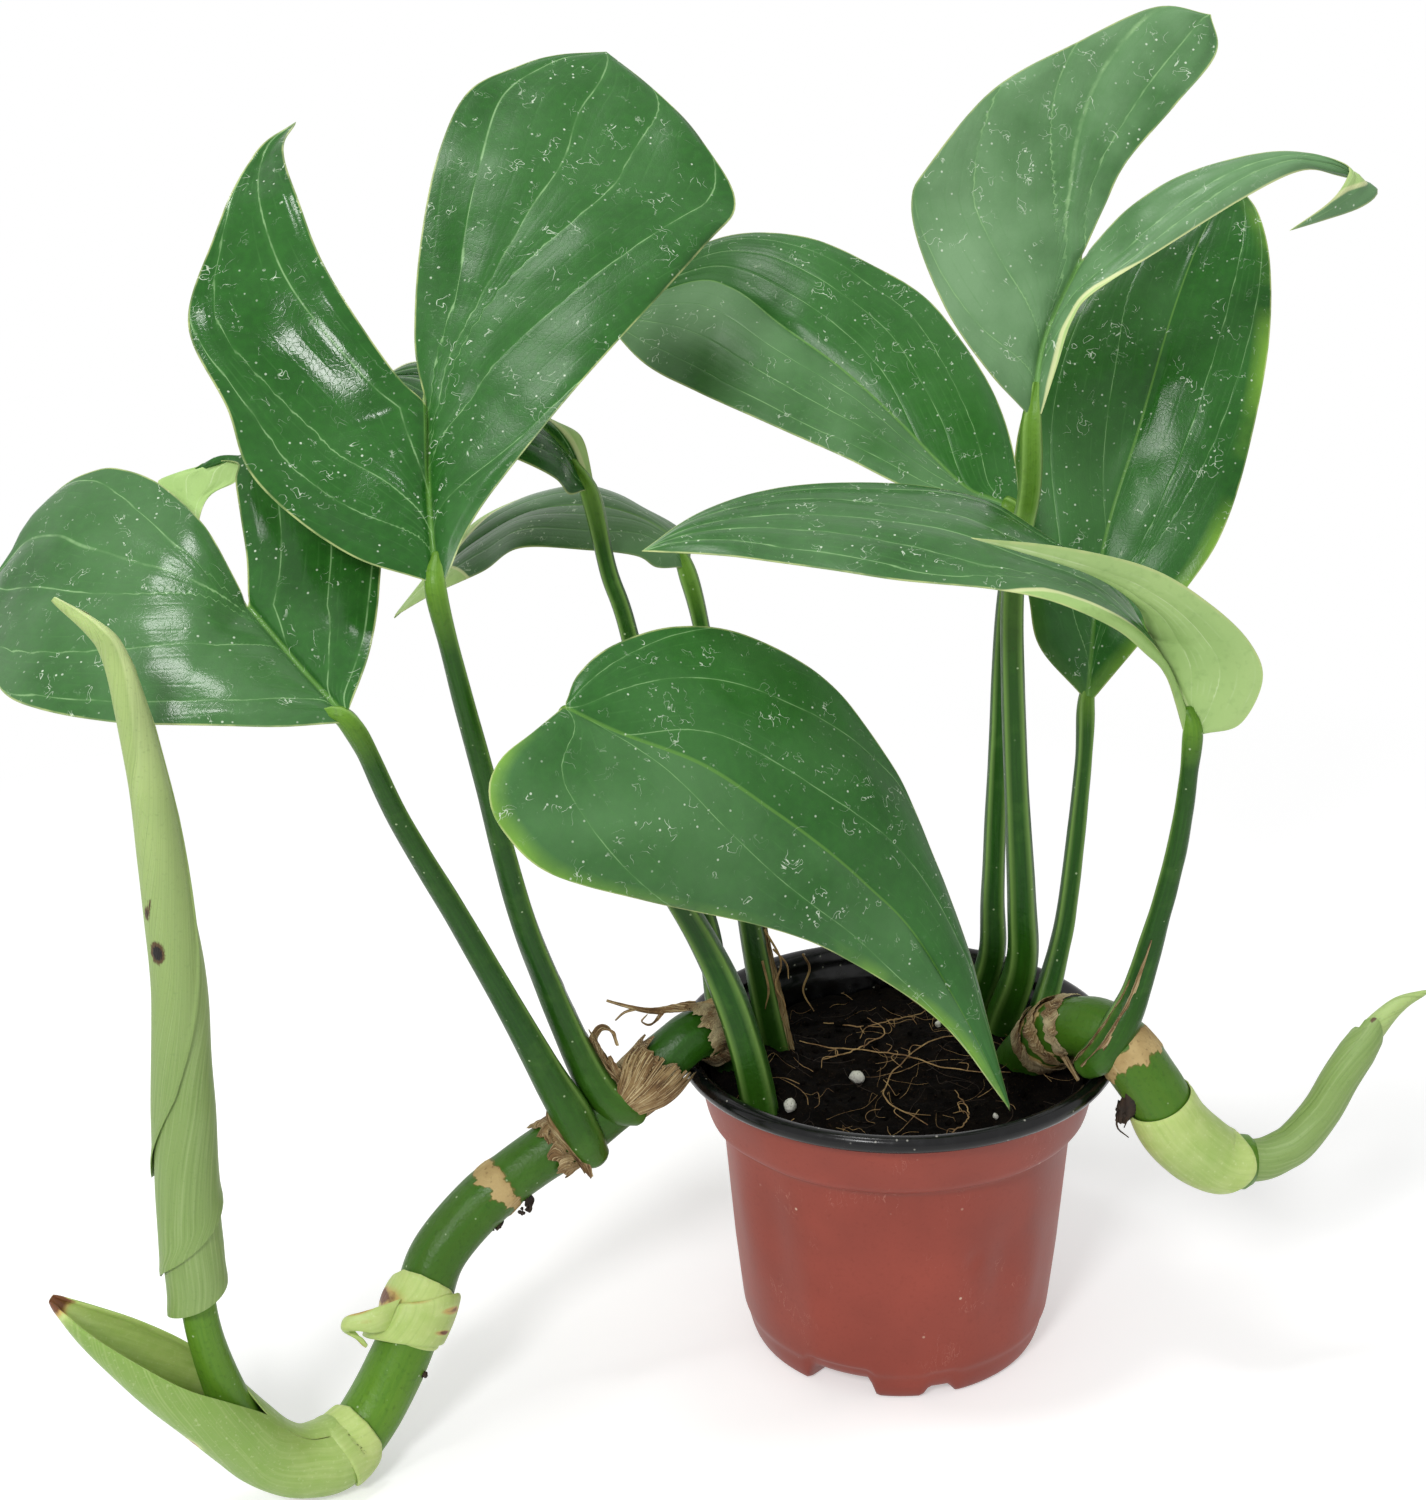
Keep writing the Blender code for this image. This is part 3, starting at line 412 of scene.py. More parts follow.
def tube_shape(route, radii, rings, sides, shape=None):
    """A round bar with domed ends. shape(t, angle) gives millimetres to add to its radius.

    Returns points, faces and, for each point, its place along in mm and the cosine and
    sine of its angle. Angle 0 is the tube's top.
    """
    path = spline(route, rings)
    tangents, sideways, ups = frames_along(path)
    t = np.linspace(0, 1, rings)
    radius = read_off(t, radii)
    if rings > 12:  # round off the corners of its outline
        wide = np.concatenate(([radius[0]] * 2, radius, [radius[-1]] * 2))
        radius = np.convolve(wide, (0.1, 0.2, 0.4, 0.2, 0.1), "valid")
    angle = np.linspace(0, 2 * math.pi, sides, endpoint=False)
    size = np.repeat(radius[:, None], sides, 1)
    if shape:
        size = size + shape(t[:, None], angle[None, :])
    length = distances(path)
    order = ([(0, 0.45), (0, 0.8)] + [(i, 1.0) for i in range(rings)]
             + [(rings - 1, 0.8), (rings - 1, 0.45)])
    points, way = [], []
    for place, (i, part) in enumerate(order):
        dome = DOME * radius[i] * math.sqrt(1 - part * part)
        centre = path[i] + tangents[i] * (dome if place > 2 else -dome)
        points.append(centre + part * size[i][:, None] * (np.cos(angle)[:, None] * ups[i]
                                                          + np.sin(angle)[:, None] * sideways[i]))
        way.append(np.stack((np.full(sides, length[i]), np.cos(angle), np.sin(angle)), -1))
    points.append([path[0] - tangents[0] * radius[0] * DOME,
                   path[-1] + tangents[-1] * radius[-1] * DOME])
    way.append([(0, 0, 0), (length[-1], 0, 0)])
    faces = []
    last = (len(order) - 1) * sides
    for k in range(sides):
        after = (k + 1) % sides
        for ring in range(len(order) - 1):
            a, b = ring * sides + k, ring * sides + after
            faces.append((a, b, b + sides, a + sides))
        faces.append((k, last + sides, after))
        faces.append((last + k, last + after, last + sides + 1))
    return np.vstack(points), faces, np.vstack(way)


def root_skin(name, pale, dark):
    """Dried root bark: straw to brown along its length, dull and finely wrinkled."""
    mat, add, shader, here = new_material(name, 0.85)
    along = add("TexNoise", here, Scale=per_mm(4), Detail=3.0)
    fine = add("TexNoise", here, Scale=per_mm(0.8), Detail=3.0)
    colour = pale
    for mask, shade in (
            (add("MapRange", along, 0.35, 0.65), dark),
            (add("MapRange", fine, 0.6, 0.8, 0.0, 0.6), "#3A2818")):
        colour = add("Mix", mask, colour, shade, data_type="RGBA")
    plug(shader.inputs["Base Color"], colour)
    plug(shader.inputs["Normal"], add("Bump", Height=fine, Strength=0.6, Distance=0.0002))
    return mat


straw_root = root_skin("straw_root_bark", "#BE9C68", "#7A5A3A")
brown_root = root_skin("brown_root_bark", "#3A2A1B", "#1E150E")

ROOTS = (((6, -30), (-4, -17), (-1, -3), (10, 12), (24, 16), (27, 8)),
         ((-26, 12), (-14, 9), (2, 4), (14, -5), (30, -12)),
         ((-18, 28), (-6, 25), (6, 29), (14, 34)),
         ((-20, -2), (-10, 6), (-2, 14), (-6, 24)),
         ((10, -38), (17, -27), (15, -14)))
RISES = (0.0, 1.5, 0.0, 3.0, 0.0)
for number, (route, rise) in enumerate(zip(ROOTS, RISES), 1):
    rng = random.Random(40 + number)
    flat = spline(route, 26)
    lying = [(x + rng.uniform(-0.35, 0.35), y + rng.uniform(-0.35, 0.35),
              soil_height(x, y) + 0.95 + rise)
             for x, y in flat]
    parts = [tube_shape(lying, ((0, 0.12), (0.2, 0.2), (0.7, 0.17), (1, 0.08)), 60, 7)]
    for _ in range(4):
        x, y, z = lying[rng.randrange(3, 23)]
        turn = rng.uniform(0, 6.28)
        reach = rng.uniform(4, 9)
        twig = [(x, y, z),
                (x + reach * 0.5 * math.cos(turn), y + reach * 0.5 * math.sin(turn), z + 0.6),
                (x + reach * math.cos(turn + 0.5), y + reach * math.sin(turn + 0.5), z - 0.3)]
        parts.append(tube_shape(twig, ((0, 0.14), (1, 0.07)), 10, 5))
    bundle(f"bare_root_{number}", parts, straw_root, (f"soil_root_{number}",))

for name, skin, seed, total in (("straw_fibres", straw_root, 5, 80),
                                ("brown_fibres", brown_root, 6, 60)):
    rng = random.Random(seed)
    parts = []
    while len(parts) < total:
        x, y = rng.uniform(-46, 46), rng.uniform(-46, 46)
        if math.hypot(x, y) > 45:
            continue
        turn = rng.uniform(0, 6.28)
        bend = rng.uniform(-1.4, 1.4)
        reach = rng.uniform(3, 9)
        route = []
        for k in range(5):
            lift = rng.uniform(0.1, 0.6) + (rng.uniform(0, 2.5) if rng.random() < 0.2 else 0)
            route.append((x, y, soil_height(x, y) + 0.7 + lift))
            x += reach * 0.5 * math.cos(turn + bend * k / 2)
            y += reach * 0.5 * math.sin(turn + bend * k / 2)
            away = math.hypot(x, y)
            if away > LOOSE_RADIUS:
                x, y = x * LOOSE_RADIUS / away, y * LOOSE_RADIUS / away
        thick = rng.uniform(0.04, 0.11)
        parts.append(tube_shape(route, ((0, thick), (1, thick * 0.5)), 16, 5))
    bundle(name, parts, skin)

# ---- Canes -----------------------------------------------------------------
# Two creeping stems, thick and juicy, green under a thin waxy skin. Where an old leaf fell
# off, a tan corky scar goes round the stem; the skin is darker and older near the pot.

# each stem is its route, and its radius in mm at fractions of its length
LEFT_CANE = (
    ((-32, 5, 58), (-39, 3, 74), (-45, -2, 86), (-49, -9, 95), (-56, -17, 98.8), (-70, -22, 88),
     (-87, -28, 77), (-107, -36, 66), (-122, -45, 53), (-128, -51, 39), (-137, -59, 21),
     (-145, -66, 10.5), (-150, -71, 8.2)),
    ((0, 6.2), (0.2, 6.6), (0.3, 6.8), (0.36, 7.6), (0.42, 7.4), (0.47, 7.9), (0.52, 7.2),
     (0.58, 7.0), (0.61, 7.5), (0.66, 7.3), (0.8, 7.6), (0.86, 7.8), (1.0, 8.0)))
RIGHT_CANE = (
    ((31, 6, 58), (33, 3, 74), (38, -6, 88), (45, -16, 98.5), (54, -25, 100.4), (64, -30, 88.5),
     (71, -31, 76), (81, -31, 67), (90, -31, 65.3)),
    ((0, 7.2), (0.3, 7.6), (0.36, 8.2), (0.42, 7.8), (0.5, 8.3), (0.58, 8.0), (0.62, 8.4),
     (0.68, 8.1), (0.85, 8.0), (1.0, 7.2)))
RIDGE_ANGLE = 0.75  # from the middle of a stalk's groove to the ridges beside it


def band(value, low, high, soft):
    """1 between low and high, 0 outside, with soft edges."""
    return np.clip((value - low) / soft + 0.5, 0, 1) * np.clip((high - value) / soft + 0.5, 0, 1)


def ragged(angle, seed, size):
    """An uneven edge round a stem: how far it strays at each angle."""
    return size * (0.5 * np.sin(2 * angle + seed) + 0.3 * np.sin(5 * angle + 2.3 * seed)
                   + 0.35 * np.sin(9 * angle + 0.7 * seed) + 0.2 * np.sin(17 * angle + seed))


def stem(name, route, radii, nodes, slot, rings, sides, seed, age, scars=(), ridges=0.0,
         rough=0.25):
    """A stem with its scars. age gives how young its green is along it, from 0 to 1.

    scars are (from, to, raggedness, first angle, last angle), in fractions of the length
    and degrees from the stem's upper side. ridges is how deep its groove is in mm, and rough
    how far its skin strays.
    """
    turns = np.linspace(0, 2 * math.pi, sides, endpoint=False)
    waves = rough * np.array([
        [noise.noise(Vector((i * 0.11, math.cos(a) * 1.3, math.sin(a) * 1.3 + seed)))
         for a in turns] for i in range(rings)])

    def covered(t, angle):
        total = 0.0 * t * angle
        for low, high, stray, first, last in scars:
            inside = (band(np.degrees(angle), first, last, 14)
                      + band(np.degrees(angle) - 360, first, last, 14))
            edge = band(t, low + ragged(angle, seed, stray * 0.4),
                        high + ragged(angle, seed + 3, stray), 0.006)
            total = np.maximum(total, edge * np.clip(inside, 0, 1))
        return total

    def shape(t, angle):
        off = (angle + math.pi) % (2 * math.pi) - math.pi
        ridge = np.exp(-((np.abs(off) - RIDGE_ANGLE) / 0.22) ** 2)
        groove = np.exp(-(off / 0.5) ** 2)
        return (waves + 0.3 * covered(t, angle)
                + ridges * (0.5 * ridge - 1.0 * groove) * np.clip(4 * t, 0, 1))

    points, faces, way = tube_shape(route, radii, rings, sides, shape)
    length = way[:, 0].max()
    t = way[:, 0] / length
    angle = np.arctan2(way[:, 2], way[:, 1])
    # a pale line along each ridge beside a stalk's groove: a painted highlight
    ridge_highlight = np.exp(-((np.abs(angle) - RIDGE_ANGLE) / 0.16) ** 2) * np.clip(6 * t, 0, 1)
    ridge_highlight *= ridges > 0
    marks = np.stack((read_off(t, age), covered(t, np.mod(angle, 2 * math.pi)), ridge_highlight), -1)
    marks[:, 1] *= np.abs(way[:, 1]) + np.abs(way[:, 2]) > 0.1
    return make_piece(name, points, faces, (stem_skin,), nodes, slot,
                      marks={"way": way, "marks": marks}, sharp=70)


# Living stem skin: satin, dark to yellow green, finely streaked along its length, with
# corky scars that are dull and tan. Its wax is thin, so it reflects about as water does.
stem_skin, add, shader, here = new_material("waxy_stem_skin", 0.4, 1.33)
way = add("Attribute", attribute_name="way").outputs["Vector"]
mark = add("SeparateXYZ", add("Attribute", attribute_name="marks").outputs["Vector"]).outputs
along = add("Mapping", way, Scale=(0.07, 5.0, 5.0))
streak = add("TexNoise", along, Scale=1.0, Detail=5.0)
patch = add("TexNoise", here, Scale=per_mm(9), Detail=4.0)
fine = add("TexNoise", here, Scale=per_mm(1.3), Detail=5.0)
pore = add("TexVoronoi", here, Scale=per_mm(2.6))
lone = add("SeparateXYZ", pore.outputs["Color"])
pores = add("Math", add("MapRange", pore.outputs["Distance"], 0.14, 0.07),
            add("MapRange", lone, 0.7, 0.75), operation="MULTIPLY")
green = "#0E4206"
for mask, shade in (
        (mark[0], "#64902A"),
        (add("MapRange", streak, 0.45, 0.7, 0.0, 0.3), "#35701A"),
        (add("MapRange", patch, 0.55, 0.75, 0.0, 0.2), "#669444"),
        (add("MapRange", fine, 0.55, 0.8, 0.0, 0.35), "#143608"),
        # the painted highlight along a stalk's ridges
        (add("Math", mark[2], 0.7, operation="MULTIPLY"), "#93BB62"),
        (add("Math", pores, 0.75, operation="MULTIPLY"), "#B9CFA0")):
    green = add("Mix", mask, green, shade, data_type="RGBA")
uneven = add("Math", add("Math", fine, 0.5, operation="SUBTRACT"), 0.9, operation="MULTIPLY")
scar_edge = add("Math", mark[1], uneven, operation="ADD")
scarred = add("MapRange", scar_edge, 0.42, 0.55)
cork = "#C8AE7A"
for mask, shade in (
        (add("MapRange", patch, 0.4, 0.62), "#AD9160"),
        (add("MapRange", fine, 0.6, 0.74, 0.0, 0.7), "#7E6340"),
        (add("MapRange", streak, 0.3, 0.42, 1.0, 0.0), "#D8C59A")):
    cork = add("Mix", mask, cork, shade, data_type="RGBA")
colour = green
for mask, shade in (
        (add("MapRange", scar_edge, 0.2, 0.4, 0.0, 0.6), "#7F6A34"),
        (scarred, cork)):
    colour = add("Mix", mask, colour, shade, data_type="RGBA")
plug(shader.inputs["Base Color"], colour)
plug(shader.inputs["Roughness"],
     add("Mix", scarred, add("MapRange", patch, 0.3, 0.7, 0.3, 0.46), 0.85))
relief = add("Math", add("Math", streak, 0.5, operation="MULTIPLY"),
             add("Math", fine, add("Math", scarred, 0.9, operation="ADD"), operation="MULTIPLY"),
             operation="ADD")
plug(shader.inputs["Normal"], add("Bump", Height=relief, Strength=0.5, Distance=0.0004))

stem("left_cane", *LEFT_CANE, ("left_cane",), "cane", rings=170, sides=54, seed=1,
     age=((0, 0.1), (0.3, 0.12), (0.5, 0.3), (0.6, 0.4), (0.72, 0.38), (0.8, 0.8), (0.9, 1.0),
          (1, 1.0)),
     scars=((0.2, 0.245, 0.008, -20, 380), (0.335, 0.362, 0.006, -20, 170),
            (0.58, 0.603, 0.009, -20, 380)))
stem("right_cane", *RIGHT_CANE, ("right_cane",), "cane", rings=110, sides=54, seed=4,
     age=((0, 0.1), (0.35, 0.3), (0.5, 0.5), (0.7, 0.6), (1, 0.9)),
     scars=((0.3, 0.335, 0.012, -20, 380), (0.365, 0.39, 0.012, 180, 400),
            (0.575, 0.618, 0.014, -20, 380)))

# ---- Leaf stalks -----------------------------------------------------------
# Each leaf stands on a grooved stalk. Its foot clasps the cane, and the last centimetre
# under the blade is a swollen, paler joint that turns the leaf to the light.

STALKS = (("upper_left",
           ((-70, -27.5, 82), (-75, -29.5, 85), (-80, -28.5, 90), (-84.5, -27.5, 99),
            (-91, -31, 120), (-97, -39, 146), (-103, -50, 187), (-108, -58, 220),
            (-110.2, -60.4, 235.6), (-110.1, -56.4, 242.7)),
           ((0, 3.2), (0.03, 4.6), (0.09, 4.9), (0.16, 4.3), (0.32, 3.6), (0.6, 3.0), (0.88, 2.5),
            (0.95, 2.8), (0.97, 2.5), (1, 0.7))),
          ("lower_left",
           ((-81.5, -33, 72.5), (-84, -34, 78), (-87.5, -34.5, 87), (-92, -35.5, 97),
            (-99, -40, 116), (-111, -50, 149), (-122, -62, 180), (-129.8, -73.6, 208.2),
            (-137.9, -73.4, 210.5)),
           ((0, 3.8), (0.03, 5.3), (0.1, 5.4), (0.2, 4.4), (0.35, 3.6), (0.65, 3.0), (0.88, 2.5),
            (0.93, 2.8), (0.96, 2.4), (1, 0.7))),
          ("back_left",
           ((-46, -1, 86), (-48, 0, 98), (-51, 2, 122), (-58, 4, 144), (-69, 7, 202), (-74, 8, 220),
            (-77.8, 8, 240), (-82.5, 10, 248)),
           ((0, 4.0), (0.15, 3.4), (0.4, 2.7), (0.85, 2.3), (0.94, 2.7), (1, 1.6))),
          ("back_centre",
           ((-29, 14, 66), (-33, 12, 82), (-39, 13, 117), (-42, 18, 145), (-50, 28, 195),
            (-54, 30, 213.1), (-57.5, 30.5, 221)),
           ((0, 4.4), (0.2, 3.9), (0.4, 3.0), (0.85, 2.3), (0.94, 2.6), (1, 1.6))),
          ("front",
           ((-36, -20, 66), (-38, -21, 80), (-41, -20.5, 96), (-45.5, -20, 112), (-52, -20, 128),
            (-62, -26, 150), (-72, -38, 176), (-79, -52, 197), (-81.8, -59.6, 204.4),
            (-76.5, -60.5, 200.2)),
           ((0, 4.4), (0.1, 4.9), (0.3, 4.4), (0.42, 3.6), (0.6, 3.0), (0.88, 2.3), (0.95, 2.5),
            (1, 0.8))),
          ("upper_right",
           ((28, 18, 64), (31, 16, 84), (35, 8, 106), (34, 4, 127), (31, 2, 170), (29, -1, 215),
            (32, -5.4, 242), (31.9, -6.2, 259.5), (33, -4.4, 268.4)),
           ((0, 5.4), (0.12, 5.0), (0.25, 4.2), (0.45, 3.3), (0.8, 2.8), (0.92, 2.9), (0.96, 2.6),
            (1, 0.7))),
          ("middle_right",
           ((19, 25, 64), (23, 22, 84), (28, 18, 104), (28, 18, 124), (29, 20, 164), (30, 22, 200),
            (32, 20.5, 228), (29.5, 20.8, 232.5)),
           ((0, 4.6), (0.2, 4.0), (0.4, 3.1), (0.85, 2.4), (0.95, 2.8), (1, 1.8))),
          ("arched_right",
           ((47, -28, 93), (51, -30, 98), (56, -29.5, 107), (60.5, -28, 119), (67, -33, 156),
            (68, -39.9, 187.2), (66.5, -39.2, 195)),
           ((0, 3.6), (0.05, 5.2), (0.13, 5.0), (0.24, 3.9), (0.45, 3.0), (0.85, 2.3), (0.94, 2.7),
            (1, 1.6))),
          ("tall_right",
           ((37, 16, 64), (41, 14, 84), (47, 20, 104), (50, 24, 119), (54, 31, 156),
            (55.1, 36.5, 172.2), (57.1, 38.3, 180.1)),
           ((0, 4.6), (0.15, 4.2), (0.35, 3.0), (0.8, 2.3), (0.9, 2.6), (0.94, 2.3), (1, 0.7))))
for number, (name, route, radii) in enumerate(STALKS):
    pale_top = 0.62 if name == "upper_right" else 0.86
    stem(f"leaf_stalk_{name}", route, radii, (f"stalk_{name}",), "stalk", rings=110, sides=32,
         seed=10 + number, ridges=0.55, rough=0.12,
         age=((0, 0.4), (0.07, 0.2), (0.3, 0.05), (pale_top, 0.1), (0.96, 1.0), (1, 0.8)))

# ---- Leaf blades -----------------------------------------------------------
# Nine blades, some split once to the midrib where the leaf cracked as it grew. A blade is
# half a millimetre thick, waxy and dark above, pale and dull below, with long curved veins
# sunk into its upper face and a thin cream margin.

BLADE_THICKNESS = 0.6
QUILT_HEIGHT = 0.55  # how far the skin bulges between its veins
RIPPLES = ((1.5, 24), (0.35, 8))  # heights and lengths of the blade's random waves
CREASE_HEIGHT, CREASE_WIDTH = 4.0, 12.0
LEAF_ROWS, LEAF_COLUMNS = 110, 28
JOINED_ROWS = 38  # a split blade's halves part here
ALONG = np.linspace(0, 1, LEAF_ROWS)
OUT = np.linspace(0, 1, LEAF_COLUMNS + 1) ** 1.25  # columns lie closer near the midrib
SMOOTHING = np.exp(-(np.arange(-12, 13) / 5.0) ** 2)  # rounds the corners off each vein's line
SMOOTHING /= SMOOTHING.sum()


def half_lines(seam, edge, inner, share):
    """The inner and outer lines of half a blade, row by row.

    A whole half lies between the midrib (seam) and its margin (edge), which meet in the tip.
    A split one leaves the midrib's end after JOINED_ROWS and goes along its inner line to the
    end of its margin; share is how much of its margin comes before that.
    """
    if inner is None:
        return spline(seam, LEAF_ROWS), spline((*edge, seam[-1]), LEAF_ROWS)
    free = LEAF_ROWS - JOINED_ROWS
    line = np.vstack((spline(seam, JOINED_ROWS + 1),
                      spline((seam[-1], *inner, edge[-1]), free)[1:]))
    dense = spline(edge, 800)
    cut = share * 799
    picks = np.concatenate((np.linspace(0, cut, JOINED_ROWS + 1),
                            np.linspace(cut, 799, free)[1:]))
    return line, dense[np.round(picks).astype(int)]


def vein_field(lines, width):
    """For each point: its count of veins outward, the space between veins in mm, and their weight.

    A vein passes where the count is a whole number. Each line is (fraction along, fraction
    out) points, with the vein's weight in front where it is not 1.
    """
    places, weights = [np.full(LEAF_ROWS, -0.3)], [0.6]
    for line in lines:
        weight = 1.0
        if not isinstance(line[0], tuple):
            weight, line = line[0], line[1:]
        known = np.array(line)
        place = read_off(ALONG, line)
        before, after = ALONG < known[0, 0], ALONG > known[-1, 0]
        place[before] = known[0, 1] - 1.5 * (known[0, 0] - ALONG[before])
        slope = (known[-1, 1] - known[-2, 1]) / (known[-1, 0] - known[-2, 0])
        place[after] = known[-1, 1] + slope * (ALONG[after] - known[-1, 0])
        padded = np.pad(place, 12, mode="reflect", reflect_type="odd")
        place = np.convolve(padded, SMOOTHING, mode="valid")
        places.append(np.maximum(place, places[-1] + 0.004))
        weights.append(weight)
    places.append(np.maximum(1.3, places[-1] + 0.3))
    weights.append(0.6)
    places = np.array(places)
    field = np.zeros((LEAF_ROWS, len(OUT), 3))
    for r in range(LEAF_ROWS):
        count = np.interp(OUT, places[:, r], np.arange(len(places)))
        step = np.minimum(count.astype(int), len(places) - 2)
        field[r, :, 0] = count
        field[r, :, 1] = (places[step + 1, r] - places[step, r]) * width[r]
        field[r, :, 2] = np.interp(count, np.arange(len(places)), weights)
    return field


def beyond(line, width):
    """Millimetres outward from a line of (fraction along, fraction out) points."""
    return (OUT - read_off(ALONG, line)[:, None]) * width[:, None]


def half_blade(seam, edge, inner, share, cup, veins, turned, crease):
    """Half a blade: its points, its veins, and mm to its margin, past its fold and to its rib."""
    line, margin = half_lines(seam, edge, inner, share)
    width = np.linalg.norm(margin - line, axis=1)
    b = OUT[None, :, None]
    grid = (1 - b) * line[:, None] + b * margin[:, None]
    swell = np.sin(math.pi * ALONG)[:, None]
    grid[:, :, 2] += 4 * b[:, :, 0] * (1 - b[:, :, 0]) * cup * swell
    if crease:
        off = beyond(crease, width)
        ends = (np.clip((ALONG - crease[0][0]) / 0.1, 0, 1)
                * np.clip((crease[-1][0] - ALONG) / 0.1 + 0.3, 0, 1))
        fold = np.exp(-np.sqrt(off * off + 1.5) / CREASE_WIDTH)
        grid[:, :, 2] += CREASE_HEIGHT * ends[:, None] * fold
    ribs = width[:, None] * OUT
    rim = width[:, None] * (1 - OUT)
    if inner is None:
        ribs = ribs / np.linspace(1, 0.15, LEAF_ROWS)[:, None]
    else:
        travelled = distances(line) - distances(line)[JOINED_ROWS]
        rim = np.minimum(rim, ribs + np.maximum(0, -travelled)[:, None])
        ribs = ribs + np.maximum(0, travelled)[:, None] * 0.6
    if turned:
        over = beyond(turned, np.maximum(width, 4))
    else:
        over = np.full(rim.shape, -50.0)
    return grid, vein_field(veins, width), np.stack((rim, over, ribs), -1)


def blade_faces(whole):
    """Faces over both halves, and which of their stacked points they use.

    The halves share the midrib's points as far as it goes, and each ends in one point.
    """
    shape = (2, LEAF_ROWS, len(OUT))
    keys = np.arange(math.prod(shape)).reshape(shape)
    shared = LEAF_ROWS if whole else JOINED_ROWS + 1
    keys[1, :shared, 0] = keys[0, :shared, 0]
    keys[:, -1] = keys[:, -1, :1]
    faces = []
    for side, half in enumerate(keys.tolist()):
        for r, c in np.ndindex(LEAF_ROWS - 1, LEAF_COLUMNS):
            quad = [half[r][c], half[r][c + 1], half[r + 1][c + 1], half[r + 1][c]]
            if side == 0:
                quad.reverse()
            clean = [k for n, k in enumerate(quad) if k != quad[n - 1]]
            if len(clean) > 2:
                faces.append(clean)
    used = sorted({k for face in faces for k in face})
    order = {k: n for n, k in enumerate(used)}
    return [tuple(order[k] for k in face) for face in faces], used


def thicken(points, faces, marks, rib, wave, seed):
    """A blade's upper and lower skins from its middle surface, and the faces of its thin edge.

    The skin is quilted between its veins and rippled at random, and its midrib is a groove
    above and a ridge below.
    """
    normals = np.zeros_like(points)
    for face in faces:
        a, b, c = points[list(face[:3])]
        normals[list(face)] += np.cross(b - a, c - a)
    normals = unit(normals)
    count, spacing = marks["vein"][:, :2].T
    rim, mid_rib = marks["skin"][:, 0], np.abs(marks["skin"][:, 2])
    quilt = (QUILT_HEIGHT * rib * np.sin(math.pi * np.abs((count + 0.5) % 1 - 0.5))
             * np.clip(spacing / 9, 0, 1))
    (slow_height, slow_length), (quick_height, quick_length) = RIPPLES
    rippled = np.array([
        slow_height * noise.noise(Vector(p) / slow_length + Vector((seed, 0, 0)))
        + quick_height * noise.noise(Vector(p) / quick_length + Vector((0, seed, 0)))
        for p in points])
    fade = np.clip(mid_rib / 5, 0, 1) * np.clip(rim / 3, 0.3, 1)
    middle = points + normals * ((quilt + wave * rippled) * fade)[:, None]
    thin = BLADE_THICKNESS * np.clip(0.3 + rim / 4, 0.3, 1)
    valley = 0.7 * rib * np.exp(-(mid_rib / 1.3) ** 2)
    ridge = 1.0 * rib * np.exp(-(mid_rib / 1.5) ** 2)
    both = np.vstack((middle + normals * (thin / 2 - valley)[:, None],
                      middle - normals * (thin / 2 + ridge)[:, None]))
    size = len(points)
    edges = dict.fromkeys((a, b) for face in faces for a, b in zip(face, face[1:] + face[:1]))
    closed = faces + [tuple(k + size for k in reversed(face)) for face in faces]
    closed += [(b, a, a + size, b + size) for a, b in edges if (b, a) not in edges]
    return both, closed


def leaf(name, base, along, face, seam, left, right, cups, left_inner=None, right_inner=None,
         reach=(0.3, 0.3), veins=((), ()), turned=(None, None), tone=(0.4, 0.4, 0.5), rib=1.0,
         wave=1.0, seed=0, crease=None, gold=(0.0, 0.0), gloss=(0.0, 0.0)):
    """One blade from its outline. Outline points are (along, left, lift) in mm.

    along and face are the directions of its midrib and of its upper side. The pairs say what
    each half has: cups how far it bulges, reach how much of its margin comes before a split,
    turned the line (fraction along, fraction out) beyond which the pale underside faces up,
    gold how yellow its margin is, and gloss how clean and shiny it is. tone is how hazy each
    half looks, the haze being partly lime and dust and partly a painted sheen, then how dark
    the blade is. crease is a line on the left half where it is folded up. rib and wave scale
    the relief.
    """
    direction = unit(np.array(along, float))
    normal = np.array(face, float)
    normal = unit(normal - (normal @ direction) * direction)
    turn = np.stack((direction, np.cross(normal, direction), normal))
    halves = (half_blade(seam, left, left_inner, reach[0], cups[0], veins[0], turned[0], crease),
              half_blade(seam, right, right_inner, reach[1], cups[1], veins[1], turned[1], None))
    faces, used = blade_faces(left_inner is None)
    grid, field, skin = (np.stack(parts).reshape(-1, 3)[used] for parts in zip(*halves))
    side = np.array(used) // (LEAF_ROWS * len(OUT))
    field[:, 2] *= 0.4 + 0.6 * rib
    skin[:, 2] *= 1 - 2 * side
    marks = {"vein": field, "skin": skin,
             "tone": np.stack((np.array(tone)[side], np.full(len(used), tone[2]),
                               np.array(gold)[side]), -1),
             "gloss": np.stack((np.array(gloss)[side], 0 * side, 0 * side), -1)}
    points, faces = thicken(np.array(base) + grid @ turn, faces, marks, rib, wave, seed)
    marks = {key: np.vstack((values, values)) for key, values in marks.items()}
    marks["upper"] = np.repeat(((1, 0, 0), (0, 0, 0)), len(used), 0)
    return make_piece(f"blade_{name}", points, faces, (leaf_wax,), (f"leaf_{name}",), "leaf",
                      marks=marks, sharp=75)
